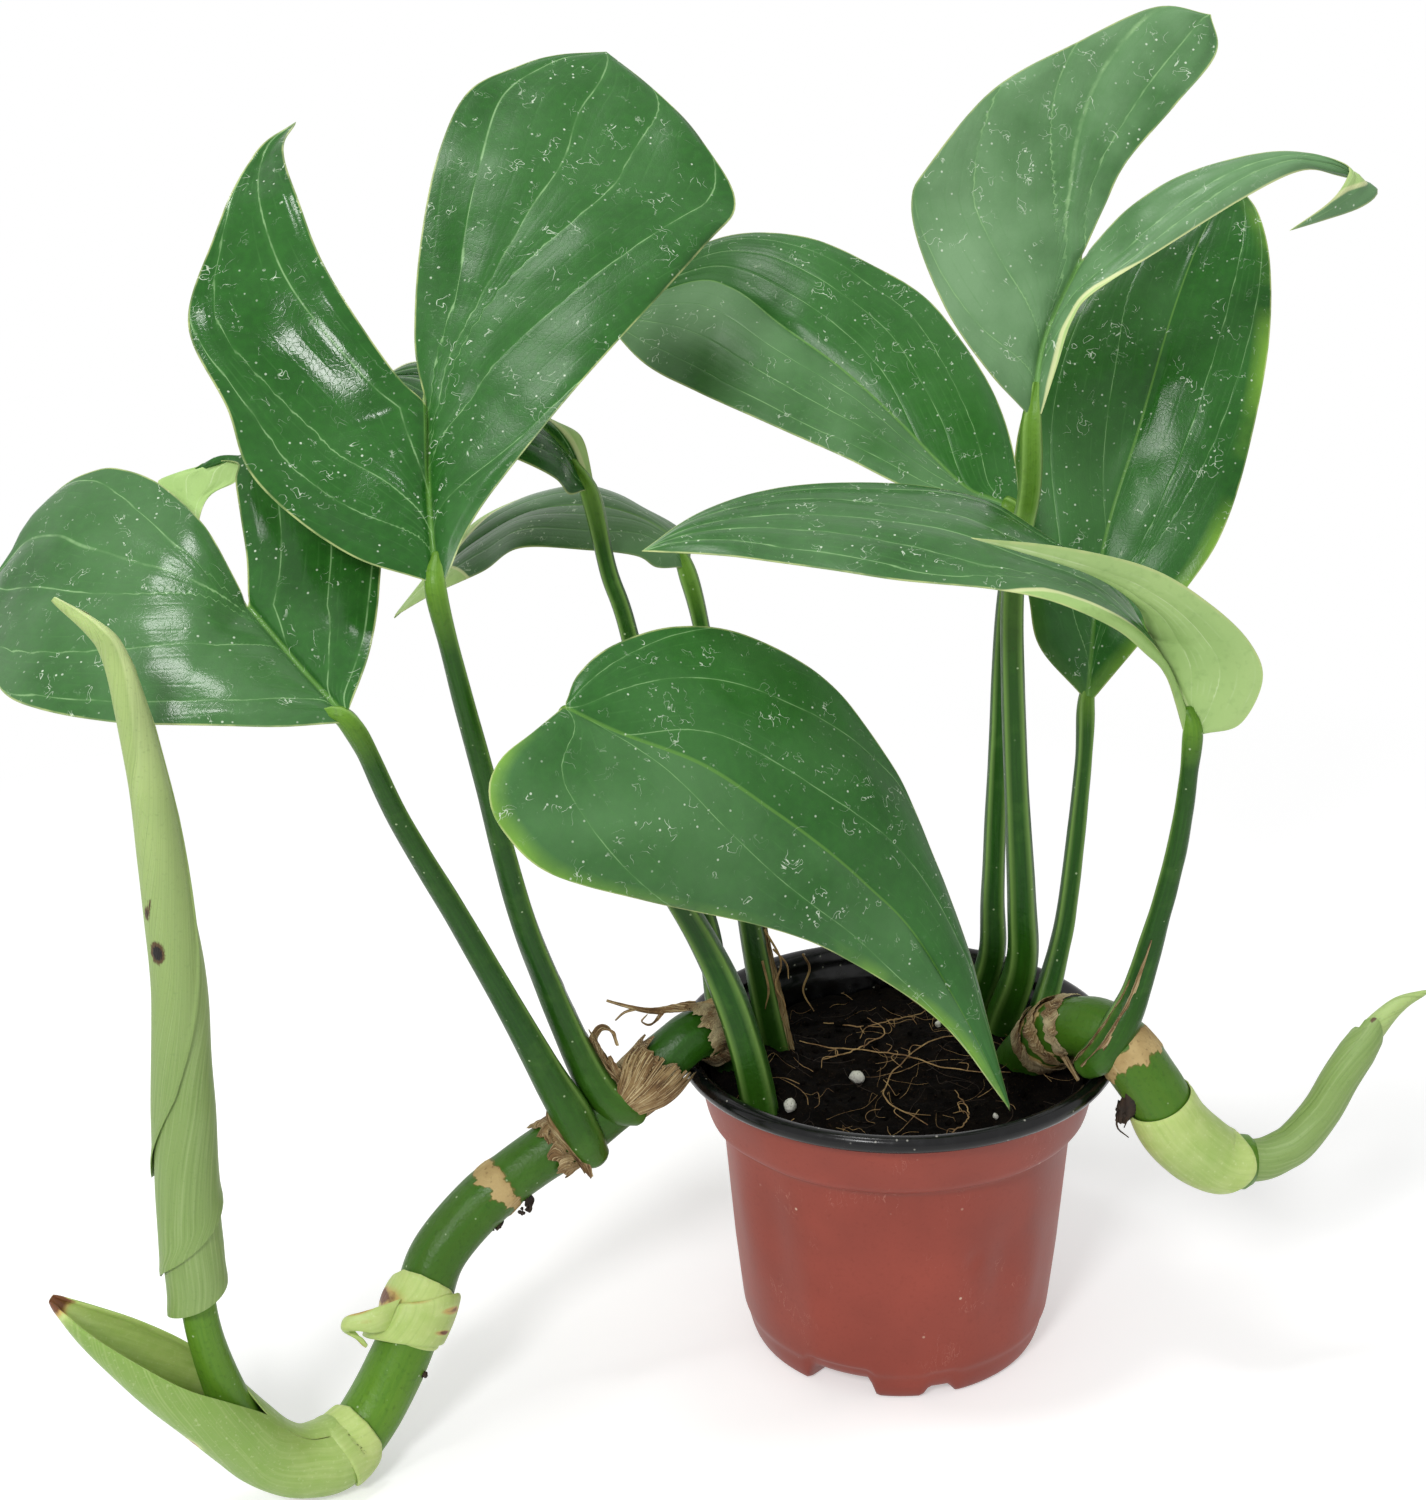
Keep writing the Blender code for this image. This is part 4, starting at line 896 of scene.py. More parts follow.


# Leaf wax over green tissue: glossy above, with a thin pale haze, fine white water marks and pale
# veins; the underside is pale and dull. The haze is partly lime and dust and partly a painted
# sheen:
# the wax's reflections are set weaker than those of clean wax, and the pale sheen they would give
# is painted into its colour in their place.
leaf_wax, add, shader, here = new_material("waxy_leaf_skin", 0.34, 1.38, Specular_IOR_Level=0.36)
vein, skin, tone, facing, clean = (
    add("SeparateXYZ", add("Attribute", attribute_name=mark).outputs["Vector"]).outputs
    for mark in ("vein", "skin", "tone", "upper", "gloss"))
wobble = add("TexNoise", here, Scale=per_mm(7), Detail=3.0)
haze_noise = add("TexNoise", here, Scale=per_mm(34), Detail=5.0)
mottle = add("TexNoise", here, Scale=per_mm(2.2), Detail=4.0)
# the upper skin is swapped for the lower one beyond the line where the blade turns over
past_fold = add("MapRange", skin[1], -0.3, 0.3)
under = add("Math", add("Math", 1.0, facing[0], operation="SUBTRACT"), past_fold,
            operation="SUBTRACT")
under = add("Math", under, operation="ABSOLUTE")


def line_distance(count, spacing):
    """Millimetres to the nearest whole count."""
    near = add("Math", add("Math", count, 0.5, operation="ADD"), operation="FRACT")
    off = add("Math", add("Math", near, 0.5, operation="SUBTRACT"), operation="ABSOLUTE")
    return add("Math", off, spacing, operation="MULTIPLY")


away = add("Math", line_distance(vein[0], vein[1]), vein[2], operation="DIVIDE")
vein_line = add("MapRange", away, 0.25, 0.07)
vein_line = add("Math", vein_line, add("MapRange", wobble, 0.38, 0.58, 0.15, 1.0),
                operation="MULTIPLY")
vein_halo = add("MapRange", away, 1.2, 0.2, 0.0, 0.16)
fine_away = line_distance(add("Math", vein[0], 4.0, operation="MULTIPLY"),
                          add("Math", vein[1], 0.25, operation="MULTIPLY"))
fine_line = add("Math", add("MapRange", fine_away, 0.3, 0.05),
                add("MapRange", wobble, 0.45, 0.65, 0.0, 0.35), operation="MULTIPLY")
rib_away = add("Math", skin[2], operation="ABSOLUTE")
rib_line = add("MapRange", rib_away, 0.9, 0.35)
margin = add("Math", add("MapRange", skin[0], 0.5, 0.22),
             add("MapRange", wobble, 0.4, 0.6, 0.3, 1.0), operation="MULTIPLY")
fold_away = add("Math", skin[1], operation="ABSOLUTE")
fold_edge = add("MapRange", fold_away, 0.9, 0.4)

# lime specks and the squiggles that water leaves between them
dots = add("TexVoronoi", here, Scale=per_mm(2.6), Randomness=1.0)
sparse = add("TexNoise", here, Scale=per_mm(15), Detail=3.0)
few = add("SeparateXYZ", dots.outputs["Color"])
specks = add("Math", add("MapRange", dots.outputs["Distance"], 0.14, 0.07),
             add("MapRange", few, 0.35, 0.4), operation="MULTIPLY")
curls = add("TexNoise", here, Scale=per_mm(3.6), Detail=2.0, Distortion=0.6)
off_curl = add("Math", add("Math", curls, 0.56, operation="SUBTRACT"), operation="ABSOLUTE")
curl_line = add("MapRange", off_curl, 0.01, 0.003)
curl_gate = add("TexNoise", here, Scale=per_mm(6), Detail=1.0)
squiggles = add("Math", curl_line, add("MapRange", curl_gate, 0.54, 0.6), operation="MULTIPLY")
lime = add("Math", add("Math", specks, squiggles, operation="MAXIMUM"),
           add("MapRange", sparse, 0.42, 0.58, 0.15, 1.0), operation="MULTIPLY")
streaks = add("TexNoise", here, Scale=per_mm(1.4), Detail=6.0, Roughness=0.7)
dust = add("Math", add("MapRange", streaks, 0.6, 0.72),
           add("MapRange", sparse, 0.5, 0.62, 0.0, 0.45), operation="MULTIPLY")

# the pale haze: partly lime and dust, partly a painted sheen of the bright surroundings, as strong
# as each half's tone says
haze_and_sheen = add("Math", add("MapRange", haze_noise, 0.3, 0.68, 0.25, 1.0), tone[0],
           operation="MULTIPLY")
edge_gold = add("Math", add("MapRange", skin[0], 5.0, 0.5),
                add("MapRange", haze_noise, 0.4, 0.6), operation="MULTIPLY")
edge_gold = add("Math", edge_gold, tone[2], operation="MULTIPLY")
upper_colour = "#165C07"
for mask, shade in (
        (add("MapRange", haze_noise, 0.62, 0.36, 0.0, 0.5), "#0C4604"),
        (tone[1], "#0A3C02"),
        (add("MapRange", mottle, 0.4, 0.7, 0.0, 0.35), "#226C12"),
        (haze_and_sheen, "#7BA075"),
        (edge_gold, "#7FAE3E"),
        (vein_halo, "#4A853C"),
        (add("Math", fine_line, 0.7, operation="MULTIPLY"), "#4F8544"),
        (add("Math", vein_line, 0.55, operation="MULTIPLY"), "#9CC48A"),
        (add("Math", rib_line, 0.4, operation="MULTIPLY"), "#78AA4A"),
        (dust, "#8FB288"),
        (add("Math", lime, 0.85, operation="MULTIPLY"), "#D4E2CC")):
    upper_colour = add("Mix", mask, upper_colour, shade, data_type="RGBA")
under_colour = "#B4D187"
for mask, shade in (
        (add("MapRange", haze_noise, 0.35, 0.65, 0.0, 0.7), "#9EC076"),
        (fine_line, "#C2DAA0"),
        (add("Math", vein_line, 0.8, operation="MULTIPLY"), "#C8DEA4"),
        (add("Math", rib_line, 0.8, operation="MULTIPLY"), "#CDE0A0"),
        (add("MapRange", mottle, 0.55, 0.75, 0.0, 0.3), "#7FA45E")):
    under_colour = add("Mix", mask, under_colour, shade, data_type="RGBA")
colour = add("Mix", under, upper_colour, under_colour, data_type="RGBA")
for mask, shade in (
        (add("Math", fold_edge, 0.85, operation="MULTIPLY"), "#D8DFA6"),
        (add("Math", margin, 0.7, operation="MULTIPLY"), "#C5D08C")):
    colour = add("Mix", mask, colour, shade, data_type="RGBA")
plug(shader.inputs["Base Color"], colour)
upper_rough = add("MapRange", haze_noise, 0.35, 0.7, 0.27, 0.42)
upper_rough = add("Math", upper_rough, add("MapRange", clean[0], 0.0, 1.0, 1.1, 0.55),
                  operation="MULTIPLY")
rough = add("Mix", under, upper_rough, 0.52)
rough = add("Mix", lime, rough, 0.7)
plug(shader.inputs["Roughness"], rough)
cell = add("TexVoronoi", here, Scale=per_mm(1.3), feature="DISTANCE_TO_EDGE")
relief = add("Math", add("Math", add("MapRange", away, 0.0, 1.1), 0.7, operation="MULTIPLY"),
             add("Math", add("MapRange", cell, 0.0, 0.15), 0.12, operation="MULTIPLY"),
             operation="ADD")
relief = add("Math", relief, add("Math", mottle, 0.25, operation="MULTIPLY"), operation="ADD")
relief = add("Math", relief,
             add("Math", add("MapRange", fine_away, 0.0, 0.6), 0.2, operation="MULTIPLY"),
             operation="ADD")
plug(shader.inputs["Normal"], add("Bump", Height=relief, Strength=0.28, Distance=0.0003))

UPPER_LEFT_CREASE = ((0.18, 0), (0.28, 0.11), (0.49, 0.21), (0.57, 0.25), (0.68, 0.36),
                     (0.85, 0.64))
leaf("upper_left", (-110, -62, 237), (0, 0.62, 0.78), (0.1, -0.77, 0.62),
     seam=((0.8, 0, 0), (22, 2, -3), (46, 3, -3)),
     left=((0.8, 2, 0), (6, 21, 4), (23, 41, 4), (41, 48, 4), (63, 58, 2), (86, 53, 2),
           (111, 45, 0), (123, 36, -4)),
     right=((0.8, -2, 0), (17, -10, 4), (49, -33, 6), (87, -62, 2), (103, -71, -2), (121, -63, -3),
            (135, -53, -5), (149, -40, -8)),
     left_inner=((53, 11, 0), (75, 26, 6), (93, 33, 6), (111, 38, 2)),
     right_inner=((62, 6, -1), (87, 5, 2), (112, 1, 2), (132, -6, -2), (142, -19, -5),
                  (146, -28, -6)), cups=(-3, 1), reach=(0.36, 0.3),
     tone=(0.1, 0.15, 0.25), gloss=(1.0, 0.1), seed=1,
     crease=UPPER_LEFT_CREASE,
     veins=(((1.1, *UPPER_LEFT_CREASE),
             ((0.11, 0), (0.24, 0.32), (0.31, 0.54), (0.41, 0.68), (0.52, 0.79), (0.7, 0.9)),
             ((0.07, 0), (0.17, 0.54), (0.28, 0.75), (0.38, 0.86), (0.5, 0.93))),
            (((0.33, 0), (0.4, 0.12), (0.48, 0.19), (0.7, 0.14), (0.95, 0.14)),
             (1.1, (0.25, 0), (0.35, 0.08), (0.44, 0.25), (0.53, 0.32), (0.68, 0.39), (0.81, 0.46),
              (0.97, 0.61)),
             ((0.38, 0.16), (0.43, 0.25), (0.54, 0.39), (0.62, 0.54), (0.74, 0.61), (0.82, 0.79)),
             ((0.22, 0), (0.27, 0.07), (0.36, 0.34), (0.46, 0.58), (0.56, 0.74), (0.7, 0.9)),
             ((0.12, 0), (0.18, 0.61), (0.25, 0.88), (0.33, 0.96)))))
leaf("lower_left", (-130, -75, 210), (-0.98, 0.11, 0.16), (0.05, -0.64, 0.76),
     seam=((0.8, -0.5, 0), (15, -13, -3), (31, -27, -3)),
     left=((0.8, 1.5, 0), (14, 7, 3), (30, 11, 5), (48, 13, 4), (68, 11, 0), (81, 4, -6),
           (92, -13, -14), (97, -32, -17)),
     right=((0.4, -2.5, 0), (-1, -17, 2), (1, -34, 2), (6, -53, 0), (16, -64, 2), (27, -68, 3),
            (35, -68, 3), (41, -64, 1), (43, -61, -3), (49, -59, -7), (51, -56, -9),
            (51, -50, -11)),
     left_inner=((37, -34, 0), (46, -44, 2), (59, -54, 0), (69, -58, -2),
                 (77, -58, -4), (87, -52, -9)),
     right_inner=((34, -38, -1), (38, -48, 0), (42, -58, 1), (43, -63, 1),
                  (52, -65, -4), (61, -63, -8), (64, -61, -10), (59, -56, -11)),
     cups=(2, 1), reach=(0.3, 0.22), tone=(0.35, 0.15, 0.3), gloss=(1.0, 0.9), seed=2,
     veins=((((0.36, 0.08), (0.45, 0.16), (0.53, 0.18), (0.66, 0.14), (0.83, 0)),
             (2.0, (0.34, 0), (0.36, 0.11), (0.44, 0.21), (0.55, 0.32), (0.68, 0.39), (0.93, 0.3)),
             ((0.4, 0.17), (0.52, 0.43), (0.63, 0.54), (0.76, 0.61)),
             ((0.22, 0), (0.31, 0.32), (0.47, 0.65), (0.56, 0.75), (0.74, 0.89)),
             ((0.04, 0), (0.08, 0.32), (0.21, 0.75), (0.44, 0.89), (0.61, 0.96))),
            (((0.2, 0), (0.27, 0.14), (0.41, 0.25), (0.61, 0.32), (0.8, 0.35)),
             ((0.06, 0), (0.12, 0.39), (0.28, 0.61), (0.47, 0.64), (0.7, 0.65)),
             ((0.02, 0.4), (0.1, 0.8), (0.23, 0.91), (0.42, 0.93)))))
PLAIN_VEINS = (((0.05, 0.05), (0.3, 0.35), (0.9, 0.3)), ((0.02, 0.3), (0.3, 0.7), (0.9, 0.6)))
leaf("back_left", (-78, 8, 241), (-1, 0, 0), (0, 0, 1),
     seam=((0.5, 0, 0.8), (6, -3, 10), (15, -7, 18), (28, -13, 24), (41, -17, 27), (53, -19, 27)),
     left=((1, 2, 0.8), (5, 7, 1), (8, 11, 6), (17, 11, 11), (30, 7, 15), (43, -2, 21)),
     right=((-1, -2, 1.5), (1, -5, 11), (4, -9, 14), (10, -15, 15), (24, -25, 20), (37, -29, 26),
            (46, -27, 29)),
     cups=(2, 2), tone=(0.1, 0.1, 0.6), gloss=(0.5, 0.5), seed=3, wave=0.5, rib=0.5,
     turned=(None, ((0, 0.35), (0.3, 0.45), (0.7, 0.6), (1, 0.9))),
     veins=(PLAIN_VEINS, PLAIN_VEINS))
leaf("back_centre", (-54, 30, 214), (-1, 0, 0), (0, 0, 1),
     seam=((0.5, 0, 1), (4, 0, 9), (15, -2, 15), (28, -4, 17), (44, -6, 14), (61, -4, 4),
           (79, 2, -11)),
     left=((1.5, 2, 1), (8, 9, 3), (13, 12, 7), (25, 16, 10), (43, 16, 11), (53, 12, 4),
           (67, 8, -3)),
     right=((-1, -2, 2), (0, -10, 7), (11, -16, 12), (25, -22, 17), (40, -26, 15), (56, -21, 10),
            (66, -12, 2)),
     cups=(2, 2), tone=(0.7, 0.7, 0.3), seed=4, wave=0.5, rib=0.35,
     turned=(((0, 1.2), (0.7, 1.1), (0.85, -0.2), (1, -0.3)),
             ((0, 1.2), (0.4, 1.05), (0.6, 0.65), (0.75, 0.2), (0.85, -0.2), (1, -0.3))),
     veins=(PLAIN_VEINS, PLAIN_VEINS))
leaf("upper_right", (32, -8, 261), (0.13, 0.31, 0.94), (0.04, -0.95, 0.31),
     seam=((0.8, 0, 0), (19, -1, -2), (40, -8, -3)),
     left=((0.8, 2, 0), (9, 13, 4), (21, 24, 6), (37, 33, 6), (48, 36, 5), (56, 33, 5), (77, 19, 2),
           (92, -1, -2), (104, -20, -6), (104, -34, -7)),
     right=((0.8, -2, 0), (12, -4, 3), (23, -6, 6), (30, -10, 8), (42, -25, 10), (56, -43, 12),
            (65, -57, 8), (65, -66, 8), (63, -76, 8), (57, -71.5, 10), (49, -54, 14)),
     left_inner=((53, -12, -1), (64, -16, 0), (80, -27, -2), (94, -36, -5)),
     right_inner=((52, -17, 2), (61, -29, 6), (68, -47, 8), (69, -58, 9),
                  (67, -66, 12), (64, -67, 13), (57, -63, 14.5)), cups=(-2, 2),
     reach=(0.3, 0.25), tone=(1.0, 1.0, 0.0), seed=5,
     turned=(None,
             ((0, 1.0), (0.08, 0.85), (0.2, 0.8), (0.33, 0.88), (0.42, 1.02), (0.78, 1.02),
              (0.84, 0.6), (0.88, 0.2), (0.92, -0.05), (1, -0.1))),
     veins=((((0.38, 0.02), (0.46, 0.1), (0.54, 0.13), (0.65, 0.18), (0.77, 0.29), (0.88, 0.39)),
             (3.0, (0.16, 0), (0.39, 0.14), (0.53, 0.25), (0.65, 0.43), (0.75, 0.64), (0.83, 0.79)),
             ((0.38, 0.15), (0.5, 0.29), (0.61, 0.54), (0.69, 0.75), (0.74, 0.89)),
             ((0.15, 0.02), (0.19, 0.14), (0.33, 0.5), (0.43, 0.65), (0.51, 0.79), (0.6, 0.93)),
             ((0.08, 0), (0.1, 0.2), (0.17, 0.71), (0.28, 0.89), (0.39, 0.96))),
            (((0.12, 0), (0.17, 0.25), (0.27, 0.46), (0.36, 0.62), (0.47, 0.54), (0.57, 0.43),
              (0.67, 0.36), (0.8, 0.2)),
             ((0.1, 0.1), (0.19, 0.71), (0.33, 0.9), (0.44, 0.78), (0.53, 0.71), (0.64, 0.57),
              (0.8, 0.5)))))
leaf("middle_right", (32, 20, 230), (-0.96, 0.06, 0.28), (0.15, -0.75, 0.64),
     seam=((0.8, -1.5, 0), (7, -2, 0), (16, -4, 0), (37, -18, 0), (54, -28, 0), (71, -36, -1),
           (86, -45, -4), (98, -48, -11), (119, -38, -24)),
     right=((-1, -2, 0), (4, -17, 1), (12, -31, 2), (23, -44, 2), (36, -55, 2), (52, -61, 1),
            (72, -65, -1), (92, -63, -8), (107, -53, -16)),
     left=((0.8, 2, 0), (14, 2.5, 1), (29, 3, 2), (47, -1, 2), (67, -5, 1), (88, -11, -3),
           (104, -21, -13)), cups=(2, 2), tone=(0.7, 0.2, 0.0), gloss=(0.0, 0.3),
     seed=6, rib=0.2,
     veins=((((0.06, 0), (0.2, 0.2), (0.5, 0.3), (0.9, 0.28)),
             ((0.03, 0.1), (0.15, 0.42), (0.4, 0.58), (0.9, 0.55)),
             ((0.0, 0.3), (0.12, 0.7), (0.4, 0.84), (0.9, 0.8))),
            (((0.22, 0), (0.34, 0.2), (0.55, 0.3), (0.9, 0.3)),
             ((0.1, 0.02), (0.2, 0.3), (0.4, 0.5), (0.65, 0.6), (0.9, 0.55)),
             ((0.03, 0.1), (0.12, 0.5), (0.35, 0.74), (0.6, 0.82), (0.9, 0.8)))))
leaf("tall_right", (55, 35, 173), (0.25, 0.31, 0.92), (-0.07, -0.94, 0.33),
     seam=((0.8, 0, 0), (41, 5, -1), (76, 3, -1), (111, 1, -3), (136, -3, -8), (150, -9, -14)),
     left=((0.8, 2, 0), (11, 16, 1), (24, 22, 0), (46, 31, -1), (69, 35, -2), (95, 31, -3),
           (122, 18, -7)),
     right=((0.8, -2, 0), (15, -9, 2), (35, -19, 3), (52, -25, 3), (75, -27, 2), (105, -26, 0),
            (127, -22, -4), (142, -16, -9)),
     cups=(1, 1), tone=(0.2, 0.1, 0.1), gloss=(0.3, 0.5), seed=7, gold=(0.3, 0.9), rib=0.2,
     veins=((((0.30, 0), (0.36, 0.14), (0.49, 0.29), (0.61, 0.39), (0.69, 0.54)),
             ((0.05, 0), (0.16, 0.39), (0.30, 0.54), (0.44, 0.71), (0.6, 0.85))),
            (((0.04, 0), (0.27, 0.36), (0.45, 0.43), (0.64, 0.50), (0.79, 0.57), (0.88, 0.64)),
             ((0.03, 0.1), (0.11, 0.2), (0.32, 0.5), (0.50, 0.68), (0.7, 0.8)))))
leaf("front", (-81, -62, 206), (0.68, 0.08, -0.73), (0.5, -0.78, 0.38),
     seam=((-1, 0, 0), (12, 3, 3), (32, 10, 6), (52, 13, 7), (69, 15, 7), (85, 16, 6), (104, 16, 4),
           (131, 9, 2), (156, 0, 0)),
     left=((-2, 1, 0), (-3, 9, -2), (0, 21, -3), (10, 36, -3), (26, 47, -2), (50, 52, 0),
           (75, 48, 0), (92, 41, 0), (121, 25, 0)),
     right=((-2, -1, 0), (-4, -10, -1), (-6, -19, -2), (-4, -27, -2), (4, -32, -2), (19, -33, 0),
            (43, -22, 0), (70, -8, 0), (92, 0, 0), (125, 5, 0)), cups=(2, 2),
     tone=(0.2, 0.4, 0.0), seed=8, gold=(0.0, 0.9), rib=0.45,
     veins=((((0.1, 0), (0.14, 0.14), (0.22, 0.25), (0.41, 0.29), (0.52, 0.39), (0.65, 0.57),
              (0.8, 0.7)),
             ((0.01, 0.2), (0.04, 0.39), (0.11, 0.54), (0.21, 0.61), (0.36, 0.68), (0.5, 0.85)),
             ((0, 0.6), (0.08, 0.79), (0.15, 0.89), (0.21, 0.96))),
            (((0.06, 0.05), (0.16, 0.11), (0.28, 0.21), (0.41, 0.36), (0.52, 0.5), (0.7, 0.7)),
             ((0.04, 0.3), (0.11, 0.55), (0.17, 0.61), (0.25, 0.68), (0.31, 0.79)))))
leaf("arched_right", (68, -40, 188), (-1, 0, 0), (0, 0, 1),
     seam=((-0.5, 0, 0.8), (2, -1, 9), (11, -4, 25)),
     left=((2, 1, 0.8), (8, 5, 17), (14, 7, 24), (22, 9, 31), (36, 11, 38), (52, 12, 42),
           (73, 10, 44), (90, 6, 46), (110, 1, 48), (132, -6, 48)),
     right=((-2.5, 0, 0.8), (-11, 2, 4), (-15, 5, 16), (-11, 7, 26), (-1, 9, 36), (14, 12, 46),
            (35, 17, 53), (57, 22, 57)),
     left_inner=((18, -18, 35), (33, -28, 44), (45, -32, 51), (60, -34, 55),
                 (78, -34, 57), (100, -29, 57), (118, -19, 54)),
     right_inner=((15, 1, 34), (27, 8, 44), (38, 14, 50)), cups=(3, -3),
     reach=(0.24, 0.34), tone=(0.35, 0.35, 0.35), gloss=(0.4, 0.4), seed=9, wave=0.6,
     turned=(((0, 0), (0.24, 0.35), (0.29, 0.54), (0.38, 0.79), (0.42, 0.86), (0.47, 0.93),
              (0.52, 1.02), (1, 1.1)), ((0, -1), (1, -1))),
     veins=((((0.4, 0.12), (0.9, 0.1)),
             ((0.55, 0.45), (0.62, 0.39), (0.71, 0.32), (0.79, 0.26), (0.87, 0.22)),
             ((0.5, 0.62), (0.6, 0.58), (0.9, 0.42)),
             ((0.54, 0.85), (0.63, 0.77), (0.72, 0.71), (0.81, 0.64), (0.92, 0.57)),
             ((0.59, 0.96), (0.68, 0.9), (0.79, 0.86), (0.91, 0.75))),
            (((0.1, 0.1), (0.3, 0.35), (0.9, 0.35)), ((0.05, 0.3), (0.3, 0.65), (0.9, 0.65)))))

# ---- Fresh sheaths ---------------------------------------------------------
# Each new leaf comes out of a fleshy sheath that is pale and smooth while it is fresh.
# One still clasps the left cane like a collar, and two hold the growing tips.


def shell(grid, thickness, tags=None):
    """A closed thin solid on both sides of a grid of points, with thin edges.

    Returns points, faces and, for each point, mm along, mm across and the tag of its grid
    point. The first of each pair of skins is the outer one.
    """
    grid = np.asarray(grid, float)
    rows, columns = grid.shape[:2]
    along = np.gradient(grid, axis=0)
    across = np.gradient(grid, axis=1)
    normals = unit(np.cross(across, along))
    keys = np.arange(rows * columns).reshape(rows, columns)
    r, c = np.divmod(keys, columns)
    steps_in = np.minimum(np.minimum(r, rows - 1 - r), np.minimum(c, columns - 1 - c))
    half = (thickness / 2 * np.clip(steps_in * 0.5 + 0.25, 0, 1))[..., None]
    far = np.cumsum(np.vstack((np.zeros((1, columns)),
                               np.linalg.norm(np.diff(grid, axis=0), axis=2))), 0)
    wide = np.cumsum(np.hstack((np.zeros((rows, 1)),
                                np.linalg.norm(np.diff(grid, axis=1), axis=2))), 1)
    tag = np.zeros((rows, columns)) if tags is None else tags
    way = np.stack((far, wide, tag), -1).reshape(-1, 3)
    points = np.vstack(((grid + normals * half).reshape(-1, 3),
                        (grid - normals * half).reshape(-1, 3)))
    size = keys.size
    faces = []
    for a in keys[:-1, :-1].ravel().tolist():
        quad = (a, a + 1, a + columns + 1, a + columns)
        faces += [quad, tuple(k + size for k in reversed(quad))]
    ring = np.concatenate((keys[0], keys[1:, -1], keys[-1, -2::-1], keys[-2:0:-1, 0])).tolist()
    faces += [(b, a, a + size, b + size) for a, b in zip(ring, ring[1:] + ring[:1])]
    return points, faces, np.vstack((way, way))


def places_round(route):
    """A function of (fraction of the route, radius, angle) that gives points round a route."""
    steps = 399
    path = spline(route, steps + 1)
    _, sideways, ups = frames_along(path)

    def place_at(f, radius, angle):
        step = min(int(f * steps), steps - 1)
        part = f * steps - step
        centre = path[step] * (1 - part) + path[step + 1] * part
        return centre + radius * (math.cos(angle) * ups[step] + math.sin(angle) * sideways[step])

    return place_at


def along_arc(w, arc):
    """The angle at a fraction w of an arc."""
    return arc[0] + (arc[1] - arc[0]) * w


def round_stem(stem_line, rows, columns, span, arc, extra):
    """A grid bent round part of a stem.

    span gives from where to where it reaches along the stem, arc from which angle to which in
    degrees, and extra how far it stands off the stem in mm. v goes along it and w across.
    """
    route, radii = stem_line
    place_at = places_round(route)
    grid = np.zeros((rows, columns, 3))
    for r in range(rows):
        for c in range(columns):
            v, w = r / (rows - 1), c / (columns - 1)
            low, high = span(w) if callable(span) else span
            f = low + (high - low) * v
            angle = along_arc(w, arc(v) if callable(arc) else arc)
            grid[r, c] = place_at(f, read_off(f, radii) + extra(v, w), math.radians(angle))
    return grid


# Fresh sheath flesh: pale yellow green, satin, faintly ribbed along its length, darker green
# on its back, with brown bruises. The tag is 1 where it is bruised, -1 where it is greenest.
fresh_flesh, add, shader, here = new_material(
    "fresh_sheath_flesh", 0.42, 1.42, Subsurface_Weight=0.15, Subsurface_Radius=(0.6, 1.0, 0.3),
    Subsurface_Scale=0.0015)
way = add("Attribute", attribute_name="way").outputs["Vector"]
lined = add("Mapping", way, Scale=(0.04, 0.9, 0.0))
ribs = add("TexNoise", lined, Scale=1.0, Detail=4.0)
tag = add("SeparateXYZ", way).outputs[2]
blotch = add("TexNoise", here, Scale=per_mm(4), Detail=6.0)
grain = add("TexNoise", here, Scale=per_mm(0.9), Detail=4.0)
uneven = add("Math", add("Math", blotch, 0.5, operation="SUBTRACT"), 2.4, operation="MULTIPLY")
bruise = add("MapRange", add("Math", tag, uneven, operation="ADD"), 0.55, 1.1)
green_back = add("Math", add("MapRange", add("Math", tag, -1.0, operation="MULTIPLY"), 0.0, 1.0),
                 0.9, operation="MULTIPLY")
colour = "#C8DA88"
for mask, shade in (
        (add("MapRange", blotch, 0.35, 0.65, 0.0, 0.5), "#AECA68"),
        (green_back, "#6E9A3C"),
        (add("MapRange", ribs, 0.5, 0.68, 0.0, 0.2), "#D6E4A0"),
        (add("MapRange", ribs, 0.46, 0.34, 0.0, 0.18), "#8CB054"),
        (add("MapRange", grain, 0.6, 0.75, 0.0, 0.3), "#E6EEBE"),
        (add("MapRange", tag, 0.15, 0.6, 0.0, 0.8), "#D2A662"),
        (bruise, "#75482A")):
    colour = add("Mix", mask, colour, shade, data_type="RGBA")
plug(shader.inputs["Base Color"], colour)
plug(shader.inputs["Roughness"], add("MapRange", blotch, 0.3, 0.7, 0.36, 0.5))
relief = add("Math", ribs, add("Math", grain, 0.2, operation="MULTIPLY"), operation="ADD")
plug(shader.inputs["Normal"], add("Bump", Height=relief, Strength=0.4, Distance=0.0004))


def spots(grid, places):
    """Tags for a grid from (row fraction, column fraction, spread, strength, spread across)."""
    rows, columns = grid.shape[:2]
    v, w = np.meshgrid(np.linspace(0, 1, rows), np.linspace(0, 1, columns), indexing="ij")
    tags = np.zeros((rows, columns))
    for row, column, spread, strength, *across in places:
        wide = across[0] if across else spread
        tags += strength * np.exp(-((v - row) / spread) ** 2 - ((w - column) / wide) ** 2)
    return tags


def sheath(name, grid, thickness, material, nodes, slot, places=(), outside=0.0, start=0.0):
    """A bent sheet. outside is added to the outer skin's tag, and start to its mm along."""
    points, faces, way = shell(grid, thickness, spots(grid, places))
    way[:len(way) // 2, 2] += outside
    way[:, 0] += start
    return make_piece(name, points, faces, (material,), nodes, slot, marks={"way": way},
                      sharp=60)


def stand_off(angle):
    """The collar sits close to the cane on its right and stands off it on its left."""
    return 0.4 + 2.0 * min(1.0, max(0.0, (angle - 70) / 120)) ** 1.5


